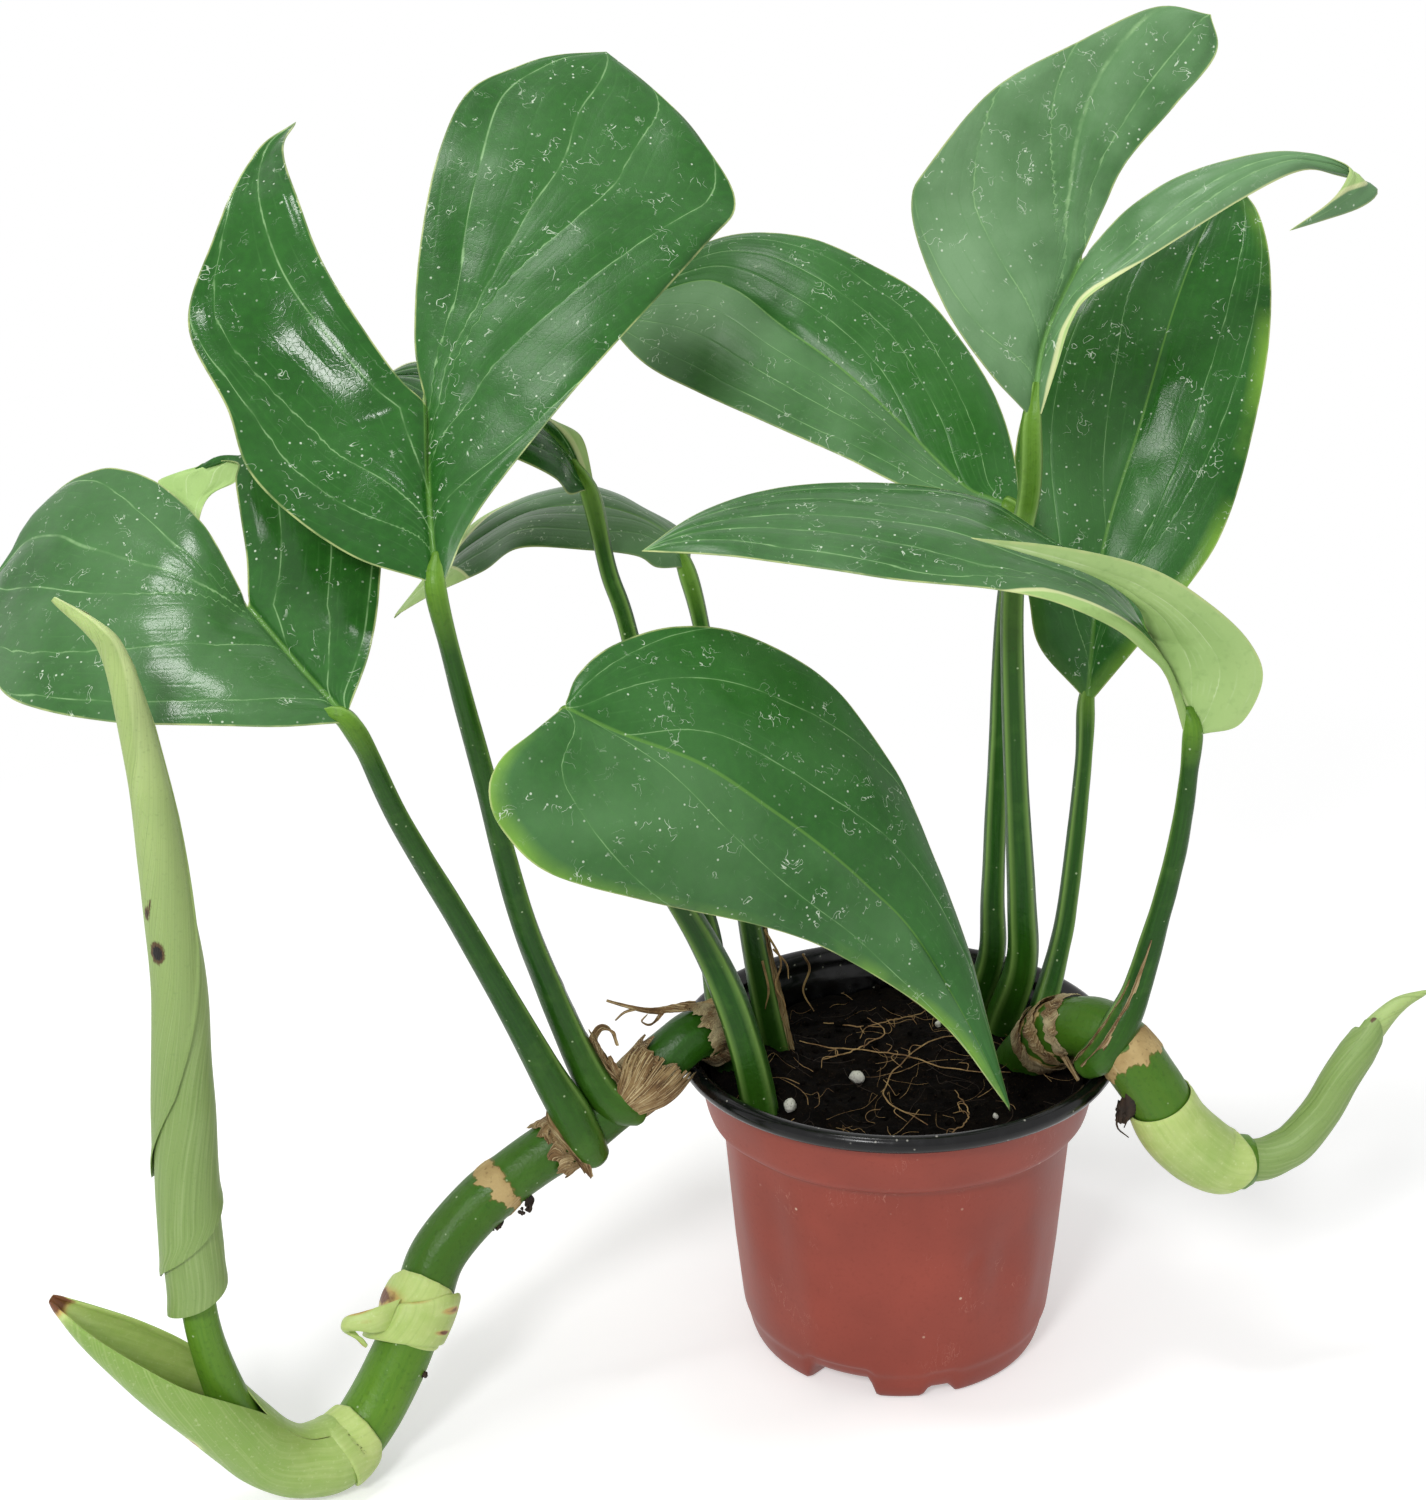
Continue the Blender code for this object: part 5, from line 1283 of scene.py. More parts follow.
# edges of the sheaths: fractions of the cane's length at angles round it
TONGUE_ARC, BAND_ARC, LIP_ARC = (-8, 208), (-172, 172), (200, 0)
TONGUE_TOP = ((-8, 0.775), (8, 0.752), (30, 0.741), (60, 0.734), (95, 0.7305), (130, 0.733),
              (155, 0.744), (175, 0.762), (190, 0.782), (208, 0.81))
BAND_TOP = ((-172, 0.8), (-90, 0.77), (10, 0.747), (40, 0.748), (100, 0.765), (145, 0.788),
            (172, 0.8))
BAND_BOTTOM = ((-172, 0.835), (-90, 0.82), (10, 0.809), (40, 0.812), (100, 0.825), (145, 0.834),
               (172, 0.838))
LIP_TOP = ((0, 0.985), (15, 0.962), (40, 0.945), (80, 0.933), (120, 0.928), (150, 0.937),
           (175, 0.955), (200, 0.985))

# the collar's upper part is a round tongue, which the slanting band below it overlaps
tongue = round_stem(LEFT_CANE, 40, 90,
                    lambda w: (read_off(along_arc(w, TONGUE_ARC), TONGUE_TOP), 0.82), TONGUE_ARC,
                    lambda v, w: stand_off(along_arc(w, TONGUE_ARC))
                                 + 0.5 * math.sin(math.pi * min(1.0, v * 1.6 + 0.1)))
sheath("collar_tongue", tongue, 0.8, fresh_flesh, (), "fresh_sheath",
       ((0.45, 0.74, 0.13, 1.5), (0.3, 0.86, 0.1, 1.2), (0.3, 0.12, 0.12, 1.1),
        (0.6, 0.1, 0.1, 0.9)), outside=0.12)
collar = round_stem(LEFT_CANE, 30, 80,
                    lambda w: (read_off(along_arc(w, BAND_ARC), BAND_TOP)
                               + 0.002 * math.sin(9 * w),
                               read_off(along_arc(w, BAND_ARC), BAND_BOTTOM)
                               + 0.002 * math.sin(1 + 13 * w)), BAND_ARC,
                    lambda v, w: 1.0 + stand_off(along_arc(w, BAND_ARC))
                                 + 0.4 * math.sin(math.pi * v) ** 0.7 + 0.15 * math.sin(9 * w) * v)
sheath("collar_sheath", collar, 0.9, fresh_flesh, ("collar_sheath",), "fresh_sheath",
       ((0.3, 0.56, 0.06, 1.4), (0.7, 0.57, 0.05, 1.2), (0.2, 0.93, 0.04, 1.4),
        (0.0, 0.75, 0.08, 0.6)), outside=-0.1)


def skin_through(sections, rows, columns):
    """A grid through cross-sections that each have the same number of points."""
    lines = [spline([section[k] for section in sections], rows) for k in range(len(sections[0]))]
    return np.array([spline([line[r] for line in lines], columns) for r in range(rows)])


# cross-sections of the boat: centre, half width, depth, and how far its lips close, in degrees
BOAT = (((-146.6, -68.4, 10.8), 8.9, 8.8, 89), ((-149.5, -70.8, 10.0), 9.3, 9.2, 89),
        ((-152.5, -72.8, 10.0), 9.2, 9.2, 89), ((-158.5, -76.4, 12.0), 8.5, 8.8, 89),
        ((-164.5, -79.6, 17.5), 8.2, 8.8, 89), ((-170, -82.6, 26), 8.4, 8.8, 89),
        ((-176, -85.6, 36), 9.0, 8.9, 62), ((-183.5, -88.8, 46.5), 8.8, 8.6, 37),
        ((-191.5, -92.4, 57), 7.4, 6.8, 27), ((-199.5, -95.4, 66.3), 4.8, 4.2, 20),
        ((-207, -97, 74.6), 1.2, 1.1, 0))
BOAT_OPENS_TO = np.array((0.55, -0.15, 0.8))


def boat_grid(rows, columns):
    """The boat-shaped sheath: nearly closed at its foot, open at its point."""
    centres = np.array([section[0] for section in BOAT], float)
    tangents = unit(np.gradient(centres, axis=0))
    sections = []
    for (centre, wide, deep, closing), tangent in zip(BOAT, tangents):
        up = unit(BOAT_OPENS_TO - (BOAT_OPENS_TO @ tangent) * tangent)
        side = np.cross(up, tangent)
        turns = np.radians(np.linspace(-180 - closing, closing, 11))
        sections.append([np.array(centre) + wide * math.cos(a) * side + deep * math.sin(a) * up
                         for a in turns])
    return skin_through(sections, rows, columns)


boat = boat_grid(90, 60)
boat[:, :, 2] = np.maximum(boat[:, :, 2], 0.3)  # it lies on the floor
sheath("boat_sheath", boat, 1.0, fresh_flesh, ("boat_sheath", "end_collar"), "fresh_sheath",
       ((1.0, 0.5, 0.045, 2.6, 9.0), (0.5, 0.64, 0.025, 2.2, 0.04), (0.43, 0.56, 0.02, 2.2, 0.03),
        (0.8, 0.3, 0.25, -0.3), (0.05, 0.5, 0.2, 0.35, 9.0)), outside=-0.8)

# the boat's near end is a round pale lip that lies against the cane
lip = round_stem(LEFT_CANE, 40, 70,
                 lambda w: (read_off(along_arc(w, LIP_ARC), LIP_TOP), 1.0), LIP_ARC,
                 lambda v, w: 1.0 + 1.6 * v ** 0.7 * math.sin(math.pi * w) ** 0.5
                              + 0.3 * math.sin(math.pi * v))
lip[:, :, 2] = np.maximum(lip[:, :, 2], 0.5)  # clear of the floor
sheath("boat_end_lip", lip[:, ::-1], 0.9, fresh_flesh, (), "fresh_sheath",
       ((0.9, 0.5, 0.4, -0.4),), outside=0.05)

# the collar's loose end, curled away from the cane and browned at its tip
flap = skin_through((
    ((-131.5, -57.5, 46.5), (-133.5, -59.5, 43), (-134.5, -59.8, 39)),
    ((-136, -60.5, 46.5), (-137.5, -62.5, 43.5), (-138.0, -62.6, 40)),
    ((-141, -61.5, 45.5), (-142, -63, 43.5), (-142, -63.2, 41)),
    ((-144.5, -61.5, 44.5), (-145.5, -63, 42.5), (-144.5, -62.5, 40.5)),
    ((-146, -60, 42), (-146, -61.2, 40), (-144.0, -61, 38.6)),
    ((-143.5, -59, 38), (-143, -60.2, 36.8), (-141.8, -60.4, 37.2)),
    ((-141.8, -59, 34.5), (-141, -60, 33.8), (-140.4, -60, 34.6))), 34, 12)
sheath("collar_flap", flap, 0.8, fresh_flesh, ("collar_flap",), "fresh_sheath",
       ((1.0, 0.5, 0.16, 1.0), (0.42, 0.0, 0.12, 1.0), (0.3, 0.5, 0.1, 0.3)))

# the sheath at the tip of the right cane ends in a slit with two points
longer_cane = (RIGHT_CANE[0] + ((97, -30.5, 66.5), (102, -30, 68)),
               ((0, 7.2), (0.6, 8.2), (0.8, 8.0), (0.93, 7.0), (1, 6.4)))
tip_grid = round_stem(longer_cane, 60, 70,
                      lambda w: (0.655 + 0.01 * math.sin(6 * w),
                                 0.862 + 0.022 * math.cos(2 * math.pi * (w - 0.13))
                                 + 0.03 * abs(math.cos(math.pi * (w - 0.24))) ** 7), (-178, 178),
                      lambda v, w: 0.5 + 0.8 * math.sin(math.pi * v) ** 0.8 + 0.5 * v ** 3)
sheath("tip_sheath", tip_grid, 0.8, fresh_flesh, ("tip_sheath",), "fresh_sheath",
       ((1.0, 0.0, 0.06, 0.5), (0.55, 0.25, 0.35, -0.4), (0.6, 0.8, 0.25, -0.4)))

# ---- New growth ------------------------------------------------------------
# At the end of the left cane the newest stalk carries a leaf that is still rolled up like
# a scroll. The right cane ends in a shoot that is still closed.

NEW_STALK = ((-152, -73, 9.4), (-158, -76.5, 11), (-164, -79.5, 18), (-169.5, -81.5, 28),
             (-173, -84, 42), (-175.5, -85.8, 60), (-175.6, -86.4, 80), (-175, -87, 104))
stem("new_stalk", NEW_STALK,
     ((0, 5.2), (0.28, 5.5), (0.38, 5.0), (0.5, 4.4), (0.7, 4.2), (1.0, 3.2)), ("new_stalk",),
     "young_growth", rings=80, sides=36, seed=30, rough=0.15,
     age=((0, 0.9), (0.28, 0.75), (0.6, 1.0), (1, 1.0)))

ROLLED_LEAF = ((-176, -86, 62.5), (-175, -87, 96), (-173, -88, 125), (-171, -89, 150),
               (-171, -91, 173), (-171.5, -94, 200), (-173, -96, 220), (-175.5, -96, 233),
               (-179, -97, 239), (-186.5, -97, 245.5))
ROLLED_LEAF_RADII = ((0, 8.0), (0.1, 8.3), (0.3, 7.6), (0.5, 6.3), (0.65, 5.2), (0.75, 4.2),
                     (0.85, 3.4), (0.92, 2.5), (1.0, 0.5))
# lower edge of the rolled sheet: (angle in degrees, fraction of the length); 0 faces the front
ROLL_EDGE = ((-90, 0.0), (90, 0.045), (270, 0.055), (450, 0.16), (630, 0.2), (720, 0.34),
             (790, 0.52), (830, 0.72), (850, 0.96))
ROLL_LENGTH = 185  # mm
# bruises: (fraction of the length, angle in degrees, size in mm, strength)
ROLL_BRUISES = ((0.535, -25, 1.9, 1.4), (0.585, -42, 1.2, 1.1), (0.6, -28, 0.8, 0.9))


def rolled_sheet(rows, columns):
    """The rolled leaf's grid, from its outer edge to its core, and the tags of its bruises."""
    place_at = places_round(ROLLED_LEAF)
    turns = np.linspace(-90, 850, columns)
    edge = read_off(turns, ROLL_EDGE)
    grid = np.zeros((rows, columns, 3))
    tags = np.zeros((rows, columns))
    for c, (turn, low) in enumerate(zip(turns, edge)):
        for r in range(rows):
            t = low + (1 - low) * r / (rows - 1)
            radius = read_off(t, ROLLED_LEAF_RADII)
            loose = min(0.5, radius * 0.16)
            radius += loose * ((turn + 90) / 360 - 2.6)
            a = math.radians(turn)
            radius += 0.3 * noise.noise(Vector((t * 9, a * 0.8, 4.0))) * min(1, radius / 3)
            radius += 0.5 * math.exp(-((t - low) * ROLL_LENGTH / 3) ** 2)
            grid[r, c] = place_at(t, max(radius, 0.15), a)
            for place, around, size, strength in ROLL_BRUISES:
                off = (turn - around + 180) % 360 - 180
                mm = math.hypot((t - place) * ROLL_LENGTH * 0.7, math.radians(off) * 6)
                tags[r, c] += strength * math.exp(-(mm / size) ** 2)
    return grid, tags


# Young leaf: pale grey green, dull satin, with close parallel veins that run up the roll,
# and dark spots where it was bruised. The tag is 1 at a bruise.
young_leaf, add, shader, here = new_material(
    "young_leaf_skin", 0.5, 1.42, Subsurface_Weight=0.1, Subsurface_Radius=(0.6, 1.0, 0.3),
    Subsurface_Scale=0.001)
way = add("Attribute", attribute_name="way").outputs["Vector"]
lined = add("Mapping", way, Scale=(0.03, 1.1, 0.0))
ribs = add("TexNoise", lined, Scale=1.0, Detail=3.0)
along, _, tag = add("SeparateXYZ", way).outputs
soft = add("TexNoise", here, Scale=per_mm(16), Detail=4.0)
grain = add("TexNoise", here, Scale=per_mm(0.8), Detail=4.0)
uneven = add("Math", add("Math", grain, 0.5, operation="SUBTRACT"), 0.5, operation="MULTIPLY")
bruised = add("Math", tag, uneven, operation="ADD")
height = add("SeparateXYZ", here).outputs[2]
colour = "#88A45C"
for mask, shade in (
        (add("MapRange", height, 0.13, 0.2), "#B2CA7E"),
        (add("MapRange", height, 0.2, 0.245), "#DDEEA6"),
        (add("MapRange", along, 85.0, 90.0), "#B0C87A"),
        (add("MapRange", soft, 0.35, 0.65, 0.0, 0.3), "#98B070"),
        (add("MapRange", ribs, 0.52, 0.66, 0.0, 0.3), "#B2C98A"),
        (add("MapRange", ribs, 0.46, 0.36, 0.0, 0.35), "#6F8C48"),
        (add("MapRange", grain, 0.58, 0.75, 0.0, 0.3), "#6C8A4A"),
        (add("MapRange", bruised, 0.35, 0.6), "#5A4426"),
        (add("MapRange", bruised, 0.75, 0.95), "#120C08")):
    colour = add("Mix", mask, colour, shade, data_type="RGBA")
plug(shader.inputs["Base Color"], colour)
relief = add("Math", ribs, add("Math", grain, 0.25, operation="MULTIPLY"), operation="ADD")
plug(shader.inputs["Normal"], add("Bump", Height=relief, Strength=0.5, Distance=0.0004))

grid, tags = rolled_sheet(110, 150)
points, faces, way_values = shell(grid, 0.45, tags)
make_piece("rolled_leaf", points, faces, (young_leaf,), ("rolled_leaf",), "young_growth",
           marks={"way": way_values}, sharp=60)

RIGHT_SHOOT = (
    ((88, -31, 65.6), (94.3, -31, 65.9), (99.1, -30.5, 67.7), (103.7, -30, 70.8),
     (109.8, -29, 79.1), (114.2, -28.5, 88.4), (120, -27.5, 98.6), (123, -27, 105.2)),
    ((0, 5.2), (0.2, 4.6), (0.45, 4.3), (0.8, 4.2), (0.9, 3.6), (1, 2.8)))
SHOOT_HEART = (
    ((111, -29, 81), (115, -28.4, 90), (120.5, -27.5, 99.5), (128, -26, 107.5), (136, -25, 111)),
    ((0, 3.0), (0.4, 3.0), (0.6, 2.7), (0.8, 1.8), (1, 0.3)))
shoot = round_stem(RIGHT_SHOOT, 80, 84,
                   lambda w: (0.0, 0.9 + 0.1 * abs(math.cos(math.pi * (w - 0.12))) ** 6),
                   lambda v: (-60 + 70 * v, 340 + 70 * v),
                   lambda v, w: 0.1 + 0.7 * w * min(1, 3 * v) * (1.15 - v))
sheath("right_shoot", shoot, 0.8, young_leaf, ("right_shoot",), "young_growth",
       ((1.0, 0.1, 0.03, 0.9),))
inner = round_stem(SHOOT_HEART, 60, 60, (0.0, 1.0), lambda v: (-200 + 60 * v, 190 + 60 * v),
                   lambda v, w: 0.35 * w * (1.05 - v))
sheath("right_shoot_heart", inner, 0.5, young_leaf, (), "young_growth", start=90.0)

# ---- Dried sheaths ---------------------------------------------------------
# Older sheaths died back to brown papery rags and bare fibres. They cling to the joints
# of the canes and along the stalks, split along their length and curled at their ends.

tearing = random.Random(21)
PALE_TAG = 30.0  # the tag of the paper that has bleached
FAN_FIBRES = 26


def ribbon(route, widths, face, rows=40, rag=0.25, twist=0.0):
    """A ragged strip along a route. face is the way its flat side looks; twist is in degrees."""
    columns, cup = 6, 0.3
    path = spline(route, rows)
    tangents = unit(np.gradient(path, axis=0))
    start = tearing.uniform(0, 40)
    grid = np.zeros((rows, columns, 3))
    for r in range(rows):
        t = r / (rows - 1)
        look = np.array(face, float)
        look = unit(look - (look @ tangents[r]) * tangents[r])
        side = np.cross(tangents[r], look)
        a = math.radians(twist) * t
        side, look = (math.cos(a) * side + math.sin(a) * look,
                      math.cos(a) * look - math.sin(a) * side)
        wide = read_off(t, widths)
        for c in range(columns):
            w = c / (columns - 1) * 2 - 1
            stray = 1 + rag * noise.noise(Vector((start + t * 14, w * 3, 0)))
            lift = (cup * wide * (w * w - 0.4)
                    + 0.25 * wide * noise.noise(Vector((start + t * 6, w * 2, 5))))
            grid[r, c] = path[r] + side * (w * wide / 2 * stray) + look * lift
    return shell(grid, 0.22, np.full((rows, columns), tearing.uniform(0, 20)))


def rags(name, node, strips):
    """One piece from many strips of dried sheath."""
    way = np.vstack([strip[2] for strip in strips])
    return make_piece(name, *joined(strips), (dry_paper,), (node,), "dry_sheath",
                      marks={"way": way}, sharp=60)


# Dried sheath: brown to straw paper with close fibres along its length, dull, dark in
# patches where it is wet or old, and bleached where its tag says so.
dry_paper, add, shader, here = new_material("dried_sheath_paper", 0.8, 1.45)
way = add("Attribute", attribute_name="way").outputs["Vector"]
lined = add("Mapping", way, Scale=(0.12, 3.2, 1.0))
fibres = add("TexNoise", lined, Scale=1.0, Detail=4.0)
patch = add("TexNoise", here, Scale=per_mm(7), Detail=4.0)
grain = add("TexNoise", here, Scale=per_mm(0.8), Detail=3.0)
bleached = add("MapRange", add("SeparateXYZ", way).outputs[2], PALE_TAG - 5, PALE_TAG - 1)
colour = "#A48A5E"
for mask, shade in (
        (bleached, "#C8B890"),
        (add("MapRange", patch, 0.38, 0.6), "#7A5C38"),
        (add("MapRange", patch, 0.62, 0.72), "#4A3220"),
        (add("MapRange", fibres, 0.52, 0.64), "#C9B58A"),
        (add("MapRange", fibres, 0.44, 0.34), "#4E3822"),
        (add("MapRange", grain, 0.62, 0.78, 0.0, 0.5), "#DCCDA8")):
    colour = add("Mix", mask, colour, shade, data_type="RGBA")
plug(shader.inputs["Base Color"], colour)
relief = add("Math", fibres, add("Math", grain, 0.3, operation="MULTIPLY"), operation="ADD")
plug(shader.inputs["Normal"], add("Bump", Height=relief, Strength=0.8, Distance=0.0005))


def round_rag(stem_line, span, arc, extra, fray=0.2, tag=0.0):
    """A torn papery band round part of a stem, with ragged ends."""
    rows, columns = 26, 60
    seed = tearing.uniform(0, 50)

    def torn(w):
        reach = span[1] - span[0]
        low = span[0] + fray * reach * noise.fractal(Vector((w * 9, seed, 0)), 0.8, 2.0, 3)
        high = span[1] + fray * reach * noise.fractal(Vector((w * 9, seed, 7)), 0.8, 2.0, 3)
        return low, high

    def lifted(v, w):
        return extra(v, w) + 0.35 * noise.noise(Vector((v * 3, w * 12, seed)))

    grid = round_stem(stem_line, rows, columns, torn, arc, lifted)
    return shell(grid, 0.25, np.full((rows, columns), tag))


rags("pot_side_rag", "pot_side_ring", [
    round_rag(LEFT_CANE, (0.205, 0.25), (-60, 200), lambda v, w: 0.5 + 0.8 * (1 - v),
              tag=PALE_TAG),
    round_rag(LEFT_CANE, (0.24, 0.272), (20, 150), lambda v, w: 0.6 + 0.9 * v, tag=PALE_TAG),
    ribbon(((-44, -9, 103), (-50, -13, 106), (-55, -17, 106.5)), ((0, 2), (0.5, 3.5), (1, 1.5)),
           (0, -0.3, 1))])
rags("long_rag", "long_strip", [
    ribbon(((-54, -15, 106.5), (-60, -17, 107), (-66, -19, 107.5), (-72, -21, 110),
            (-77.5, -22, 112.4)), ((0, 3.5), (0.3, 2.2), (0.7, 1.1), (1, 0.7)), (0, -0.5, 1),
           twist=60),
    ribbon(((-63, -18.5, 107), (-66, -20.5, 104.5), (-68.5, -21, 105.5), (-67, -22, 108)),
           ((0, 1.2), (1, 0.5)), (0, -1, 0.2), twist=90),
    ribbon(((-70, -20.5, 109), (-73, -21.5, 108.5), (-75.5, -21, 106)), ((0, 0.9), (1, 0.4)),
           (0, -1, 0.5))])

# fibres that fan out over the cane below the upper left stalk's foot
strips = [round_rag(LEFT_CANE, (0.318, 0.392), (-25, 150), lambda v, w: 0.6 + 1.4 * (1 - v) * w,
                    fray=0.22, tag=PALE_TAG)]
for spread in np.linspace(0, 1, FAN_FIBRES):
    def leaning(v):
        turn = (190 * spread - 95) * (0.25 + 0.55 * v)
        return 60 + turn, 64 + turn + tearing.uniform(1.5, 5)

    first = 0.395 + tearing.uniform(-0.006, 0.006)
    last = 0.305 + 0.03 * spread + tearing.uniform(-0.008, 0.008)
    fibre = round_stem(LEFT_CANE, 30, 3, (first, last), leaning,
                       lambda v, w: 1.2 + 1.2 * math.sin(3 * v) + 0.5 * spread)
    strips.append(shell(fibre, 0.2, np.full((30, 3), tearing.uniform(0, 20))))
rags("fan_rag", "fan_sheath", strips)

rags("curled_rag", "curl_sheath", [
    ribbon(((-73.5, -27.5, 92), (-77, -28, 96), (-80, -27, 101), (-80.5, -28.5, 105),
            (-78.5, -29.5, 108), (-76, -28.5, 106.5), (-75, -27.5, 102)),
           ((0, 3.0), (0.5, 3.4), (1, 1.2)), (0.4, -1, 0), twist=120, rows=60),
    ribbon(((-74, -27, 93), (-78, -29, 98), (-79.5, -30, 103), (-82, -30, 108)),
           ((0, 2.2), (1, 0.6)), (0.2, -1, 0.3), twist=-80),
    ribbon(((-72, -28, 91), (-75.5, -29, 95.5), (-77, -29.5, 100)), ((0, 3.5), (1, 1.0)),
           (0.5, -1, 0.3))])
# the torn sheath across the cane at the lower left stalk's foot
rags("heel_rag", "heel_sheath", [
    round_rag(LEFT_CANE, (0.487, 0.512), (-20, 165), lambda v, w: 0.4 + 0.7 * v, fray=0.6),
    ribbon(((-92, -33, 92), (-92.5, -36.5, 86), (-88.5, -38, 80), (-84.5, -38, 73.5),
            (-82.5, -36, 68)), ((0, 1.0), (0.3, 2.4), (0.8, 2.8), (1, 1.0)), (0, -1, 0.2),
           twist=40, rows=60),
    ribbon(((-91, -33, 84), (-94, -35.5, 82), (-93, -36, 78)), ((0, 2.5), (1, 0.8)),
           (0, -1, 0.3)),
    ribbon(((-90, -35, 86), (-87, -37, 78), (-84, -37, 70)), ((0, 0.8), (1, 1.6)), (0, -1, 0),
           twist=70),
    ribbon(((-88, -31, 70), (-93, -33.5, 68), (-98, -35.5, 64.5)), ((0, 1.5), (1, 0.8)),
           (0, -1, -0.3), twist=50)])
rags("right_rags", "right_rings", [
    round_rag(RIGHT_CANE, (0.29, 0.345), (-140, 75), lambda v, w: 0.4 + 0.9 * v, fray=0.25,
              tag=PALE_TAG),
    round_rag(RIGHT_CANE, (0.355, 0.4), (-170, 40), lambda v, w: 0.4 + 1.0 * v, fray=0.3),
    round_rag(RIGHT_CANE, (0.42, 0.45), (-175, -10), lambda v, w: 0.3 + 0.8 * (1 - v), fray=0.4,
              tag=PALE_TAG),
    ribbon(((41, -4, 100), (40, -12, 99), (42, -20, 94), (46, -26, 88)),
           ((0, 1.5), (0.5, 3.0), (1, 1.2)), (-1, -0.5, 0.4))])


def stalk_line(number, first, last, side, out):
    """Points along a stalk's surface, for a strip that clings to it."""
    path = spline(STALKS[number][1], 100)
    _, sideways, ups = frames_along(path)
    route = []
    for f in np.linspace(first, last, 8):
        i = int(f * 99)
        a = math.radians(side[0] + (side[1] - side[0]) * (f - first) / (last - first))
        reach = read_off(f, STALKS[number][2]) + out
        route.append(path[i] + reach * (math.cos(a) * ups[i] + math.sin(a) * sideways[i]))
    return route


# for each strip: where it starts and ends along its stalk, the side it is on there, in
# degrees, and how far it stands off
for name, number, places in (
        ("upper_left", 0, ((0.04, 0.46, (95, 70), 0.3), (0.02, 0.4, (60, 50), 0.2),
                           (0.12, 0.34, (80, 88), 0.4))),
        ("back_centre", 3, ((0.1, 0.42, (80, 100), 0.3), (0.06, 0.3, (70, 70), 0.3))),
        ("arched_right", 7, ((0.03, 0.4, (75, 95), 0.3), (0.0, 0.28, (40, 60), 0.3)))):
    rags(f"{name}_strip", f"strip_{name}", [
        ribbon(stalk_line(number, *place), ((0, 0.8), (0.2, 2.0), (0.7, 1.3), (1, 0.3)),
               (0.5, -1, 0.2), rows=70, rag=0.5) for place in places])

# ---- Air roots and loose fibres --------------------------------------------
# Short stubs of air roots under the left cane, broken off dark and corky, a lump of root
# and peat that hangs over the pot's right rim, and fibres that hang inside the pot.

dark_cork = root_skin("dark_root_cork", "#3A2A1C", "#15100C")
ROOT_STUBS = (((-83, -28, 76), (-82, -30, 71.5), (-82, -31, 69.5)),
              ((-100, -36, 65), (-99, -38, 61.3), (-99.5, -38.6, 60)),
              ((-108, -39, 61), (-107, -41, 57.8), (-107.8, -41.6, 56.8)),
              ((-131, -57, 29), (-128, -58.3, 26.5), (-127, -58.8, 24)))
for number, route in enumerate(ROOT_STUBS, 1):
    lumps = random.Random(60 + number)
    bumps = [lumps.uniform(-0.5, 0.9) for _ in range(12)]
    parts = [tube_shape(route, ((0, 1.3), (0.5, 1.0), (1, 0.5)), 18, 14,
                        lambda t, a: 0.4 * np.sin(3 * a + 9 * t + bumps[0])
                                     + 0.3 * np.sin(7 * a + bumps[1] * 9))]
    x, y, z = route[-1]
    for _ in range(5):
        place = (x + lumps.uniform(-2, 2), y + lumps.uniform(-1, 1), z + lumps.uniform(-0.5, 2))
        parts.append(rough_grain(place, lumps.uniform(0.4, 0.9), lumps, 0.6))
    bundle(f"root_stub_{number}", parts, dark_cork, (f"root_stub_{number}",))

lumps = random.Random(77)
parts = [tube_shape(((57, -28, 97), (59.5, -32, 90), (58, -33, 85), (56.5, -32.5, 79)),
                    ((0, 2.4), (0.4, 3.0), (0.7, 2.2), (1, 1.0)), 40, 20,
                    lambda t, a: 0.7 * np.sin(2 * a + 11 * t) + 0.4 * np.sin(5 * a + 23 * t))]
for _ in range(26):
    drop = 18 * lumps.random()
    place = (58 + lumps.uniform(-3, 3), -31 + lumps.uniform(-3, 1), 97 - drop)
    parts.append(rough_grain(place, lumps.uniform(0.5, 1.3), lumps, 0.6))
for _ in range(5):
    x, z = 58 + lumps.uniform(-3, 3), 88 + lumps.uniform(-6, 5)
    fibre = ((x, -31, z), (x + lumps.uniform(-2, 2), -34, z - 4),
             (x + lumps.uniform(-3, 3), -33, z - 8))
    parts.append(tube_shape(fibre, ((0, 0.4), (1, 0.15)), 10, 5))
bundle("rim_root", parts, dark_cork, ("rim_root",))

HANGING_FIBRES = (
    ((-35.2, 10, 117), (-31, 7, 109), (-32.5, 6, 102), (-30, 6, 96), (-31, 7, 91)),
    ((-33, 8, 112), (-29.5, 7, 108), (-29, 6, 104)),
    ((-24, 30, 100), (-22, 33, 94), (-24, 31, 88), (-21, 30, 82)),
    ((-36, 9, 108), (-34.5, 6, 101), (-35.5, 6, 95)))
bundle("hanging_fibres", [tube_shape(route, ((0, 0.35), (0.6, 0.3), (1, 0.12)), 40, 6)
                          for route in HANGING_FIBRES], straw_root, ("dry_fibre",))

# ---- Studio ----------------------------------------------------------------
# A plain white floor and white surroundings, with one soft lamp over the plant and one in
# front of it on the left, so that colours come out about as they are written.

for name, place, power in (("overhead_softbox", (-0.27, -0.13, 1.22), 4.5),
                           ("front_softbox", (-0.41, -0.985, 0.88), 6.5)):
    lamp = bpy.data.lights.new(name, "AREA")
    lamp.shape = "DISK"
    lamp.size = 0.26
    lamp.energy = power
    holder = bpy.data.objects.new(name, lamp)
    holder.location = place
    aim = Vector((-0.05, 0.0, 0.2)) - holder.location
    holder.rotation_euler = aim.to_track_quat("-Z", "Y").to_euler()
    bpy.context.scene.collection.objects.link(holder)


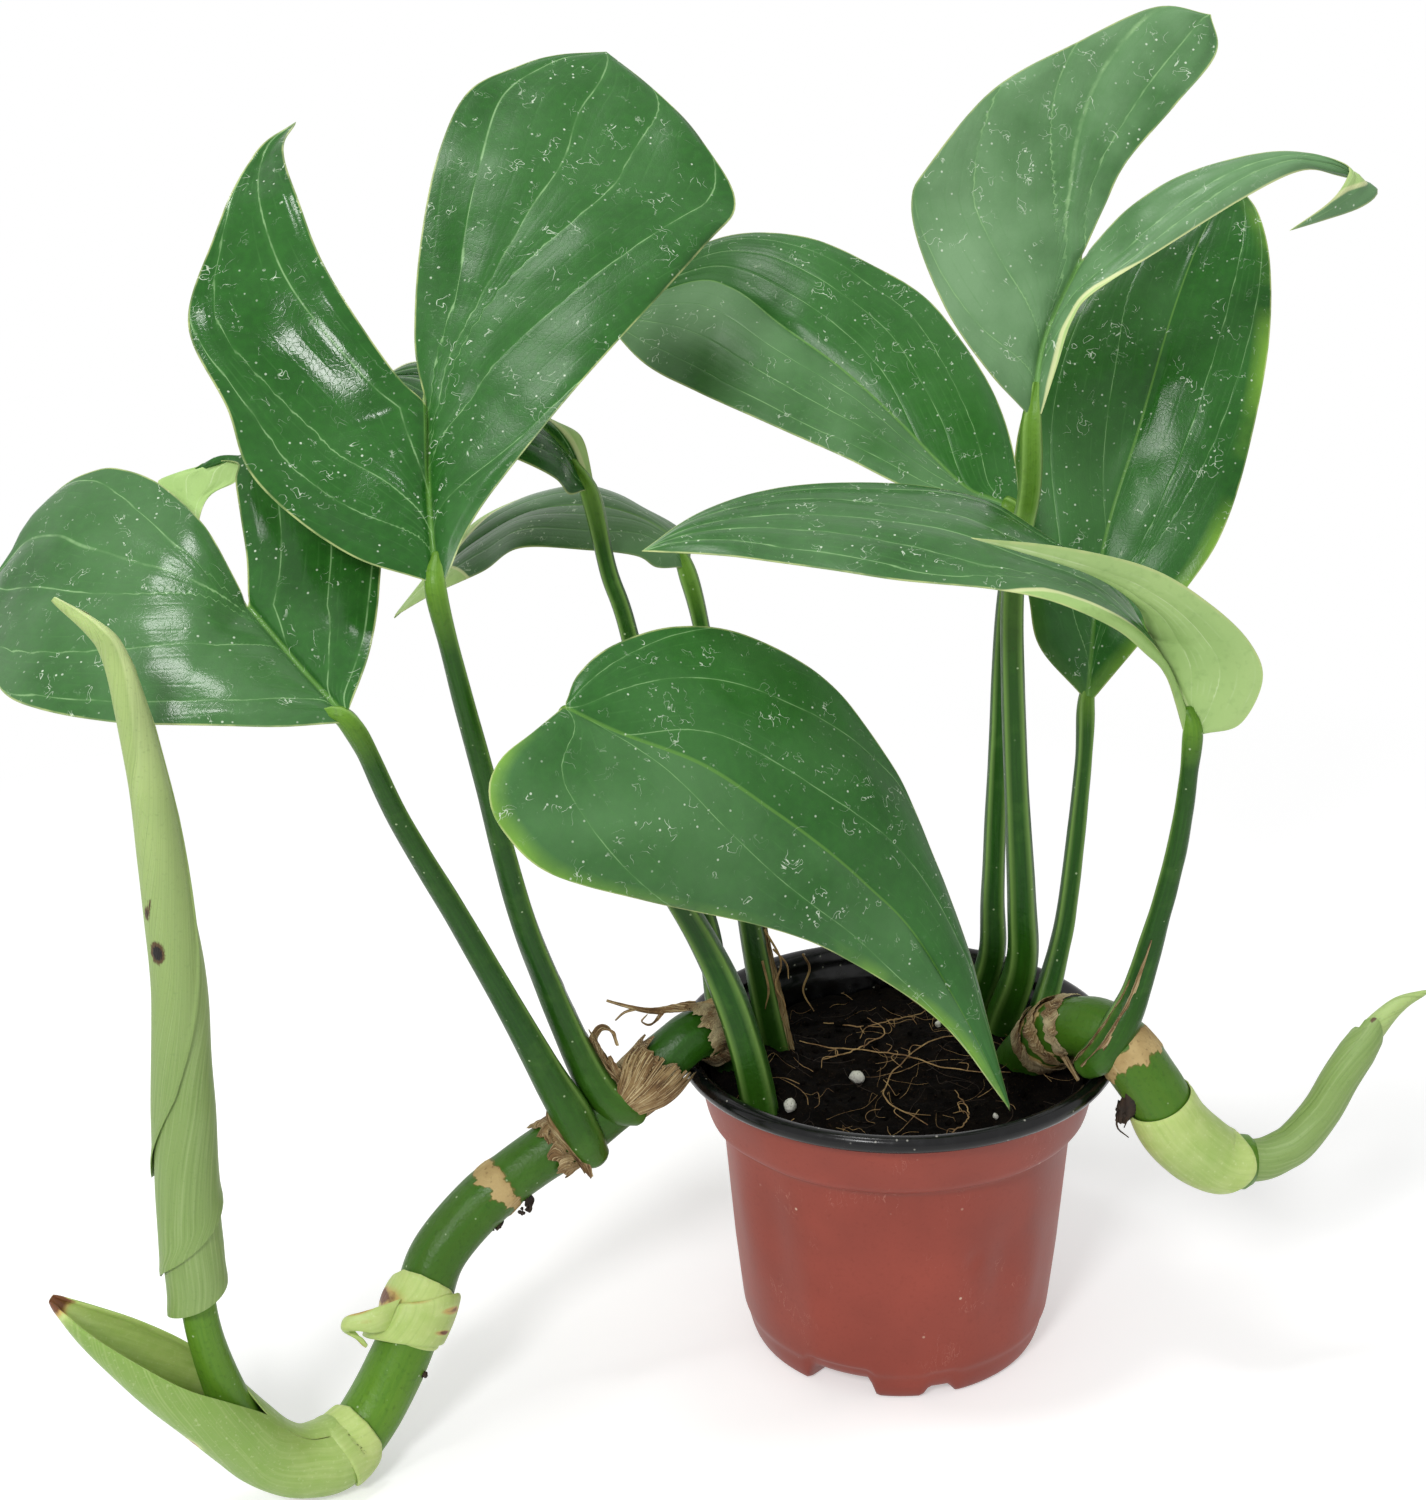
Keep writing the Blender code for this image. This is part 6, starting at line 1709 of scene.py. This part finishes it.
def seen_directly(add):
    """1 for what the camera sees, straight or in a mirror or through glass, and 0 elsewhere."""
    path = add("LightPath").outputs
    seen = add("Math", path["Is Camera Ray"], path["Is Glossy Ray"], operation="MAXIMUM")
    return add("Math", seen, path["Is Transmission Ray"], operation="MAXIMUM")


world = bpy.data.worlds.new("white_surroundings")
bpy.context.scene.world = world
world.use_nodes = True
add = functools.partial(add_node, world.node_tree)
surroundings = world.node_tree.nodes["Background"]
plug(surroundings.inputs["Strength"], add("Mix", seen_directly(add), 0.52, 1.0))
plug(surroundings.inputs["Color"], "#FFFFFF")

floor_mesh = bpy.data.meshes.new("floor")
floor_mesh.from_pydata([(-3, -3, 0), (3, -3, 0), (3, 3, 0), (-3, 3, 0)], [], [(0, 1, 2, 3)])
floor = bpy.data.objects.new("floor", floor_mesh)
bpy.context.scene.collection.objects.link(floor)
# Matt white paper. What the camera sees is lifted to white, and the contact shadow stays.
paper = bpy.data.materials.new("matt_white_paper")
paper.use_nodes = True
paper.node_tree.nodes.remove(paper.node_tree.nodes["Principled BSDF"])
add = functools.partial(add_node, paper.node_tree)
seen = seen_directly(add)
lift = add("Emission", "#FFFFFF", add("Math", seen, 0.42, operation="MULTIPLY"))
near = add("AddShader", add("BsdfDiffuse", "#E8E8E8"), lift)
# far from the plant the paper is lit evenly, so it runs into the white surroundings
distance = add("VectorMath", add("TexCoord").outputs["Object"], operation="LENGTH")
far_off = add("Math", add("MapRange", distance, 0.3, 0.6), seen, operation="MULTIPLY")
plug(paper.node_tree.nodes["Material Output"].inputs["Surface"],
     add("MixShader", far_off, near, add("Emission", "#FFFFFF", 1.0)))
floor_mesh.materials.append(paper)

CAMERA_DISTANCE = 0.600
CAMERA_ELEVATION = math.radians(19.88)
CAMERA_ROLL = math.radians(-1.33)
CAMERA_TARGET = Vector((-0.0482, 0.0, 0.1732))
camera = bpy.data.objects.new("camera", bpy.data.cameras.new("camera"))
camera.data.lens = 55.18
camera.data.sensor_width = 36.0
camera.data.clip_start = 0.01
away = Vector((0.0, -math.cos(CAMERA_ELEVATION), math.sin(CAMERA_ELEVATION))) * CAMERA_DISTANCE
camera.matrix_world = (Matrix.Translation(CAMERA_TARGET + away)
                       @ (-away).to_track_quat("-Z", "Y").to_matrix().to_4x4()
                       @ Matrix.Rotation(CAMERA_ROLL, 4, "Z"))
bpy.context.scene.collection.objects.link(camera)
bpy.context.scene.camera = camera
bpy.context.scene.view_settings.view_transform = "Standard"
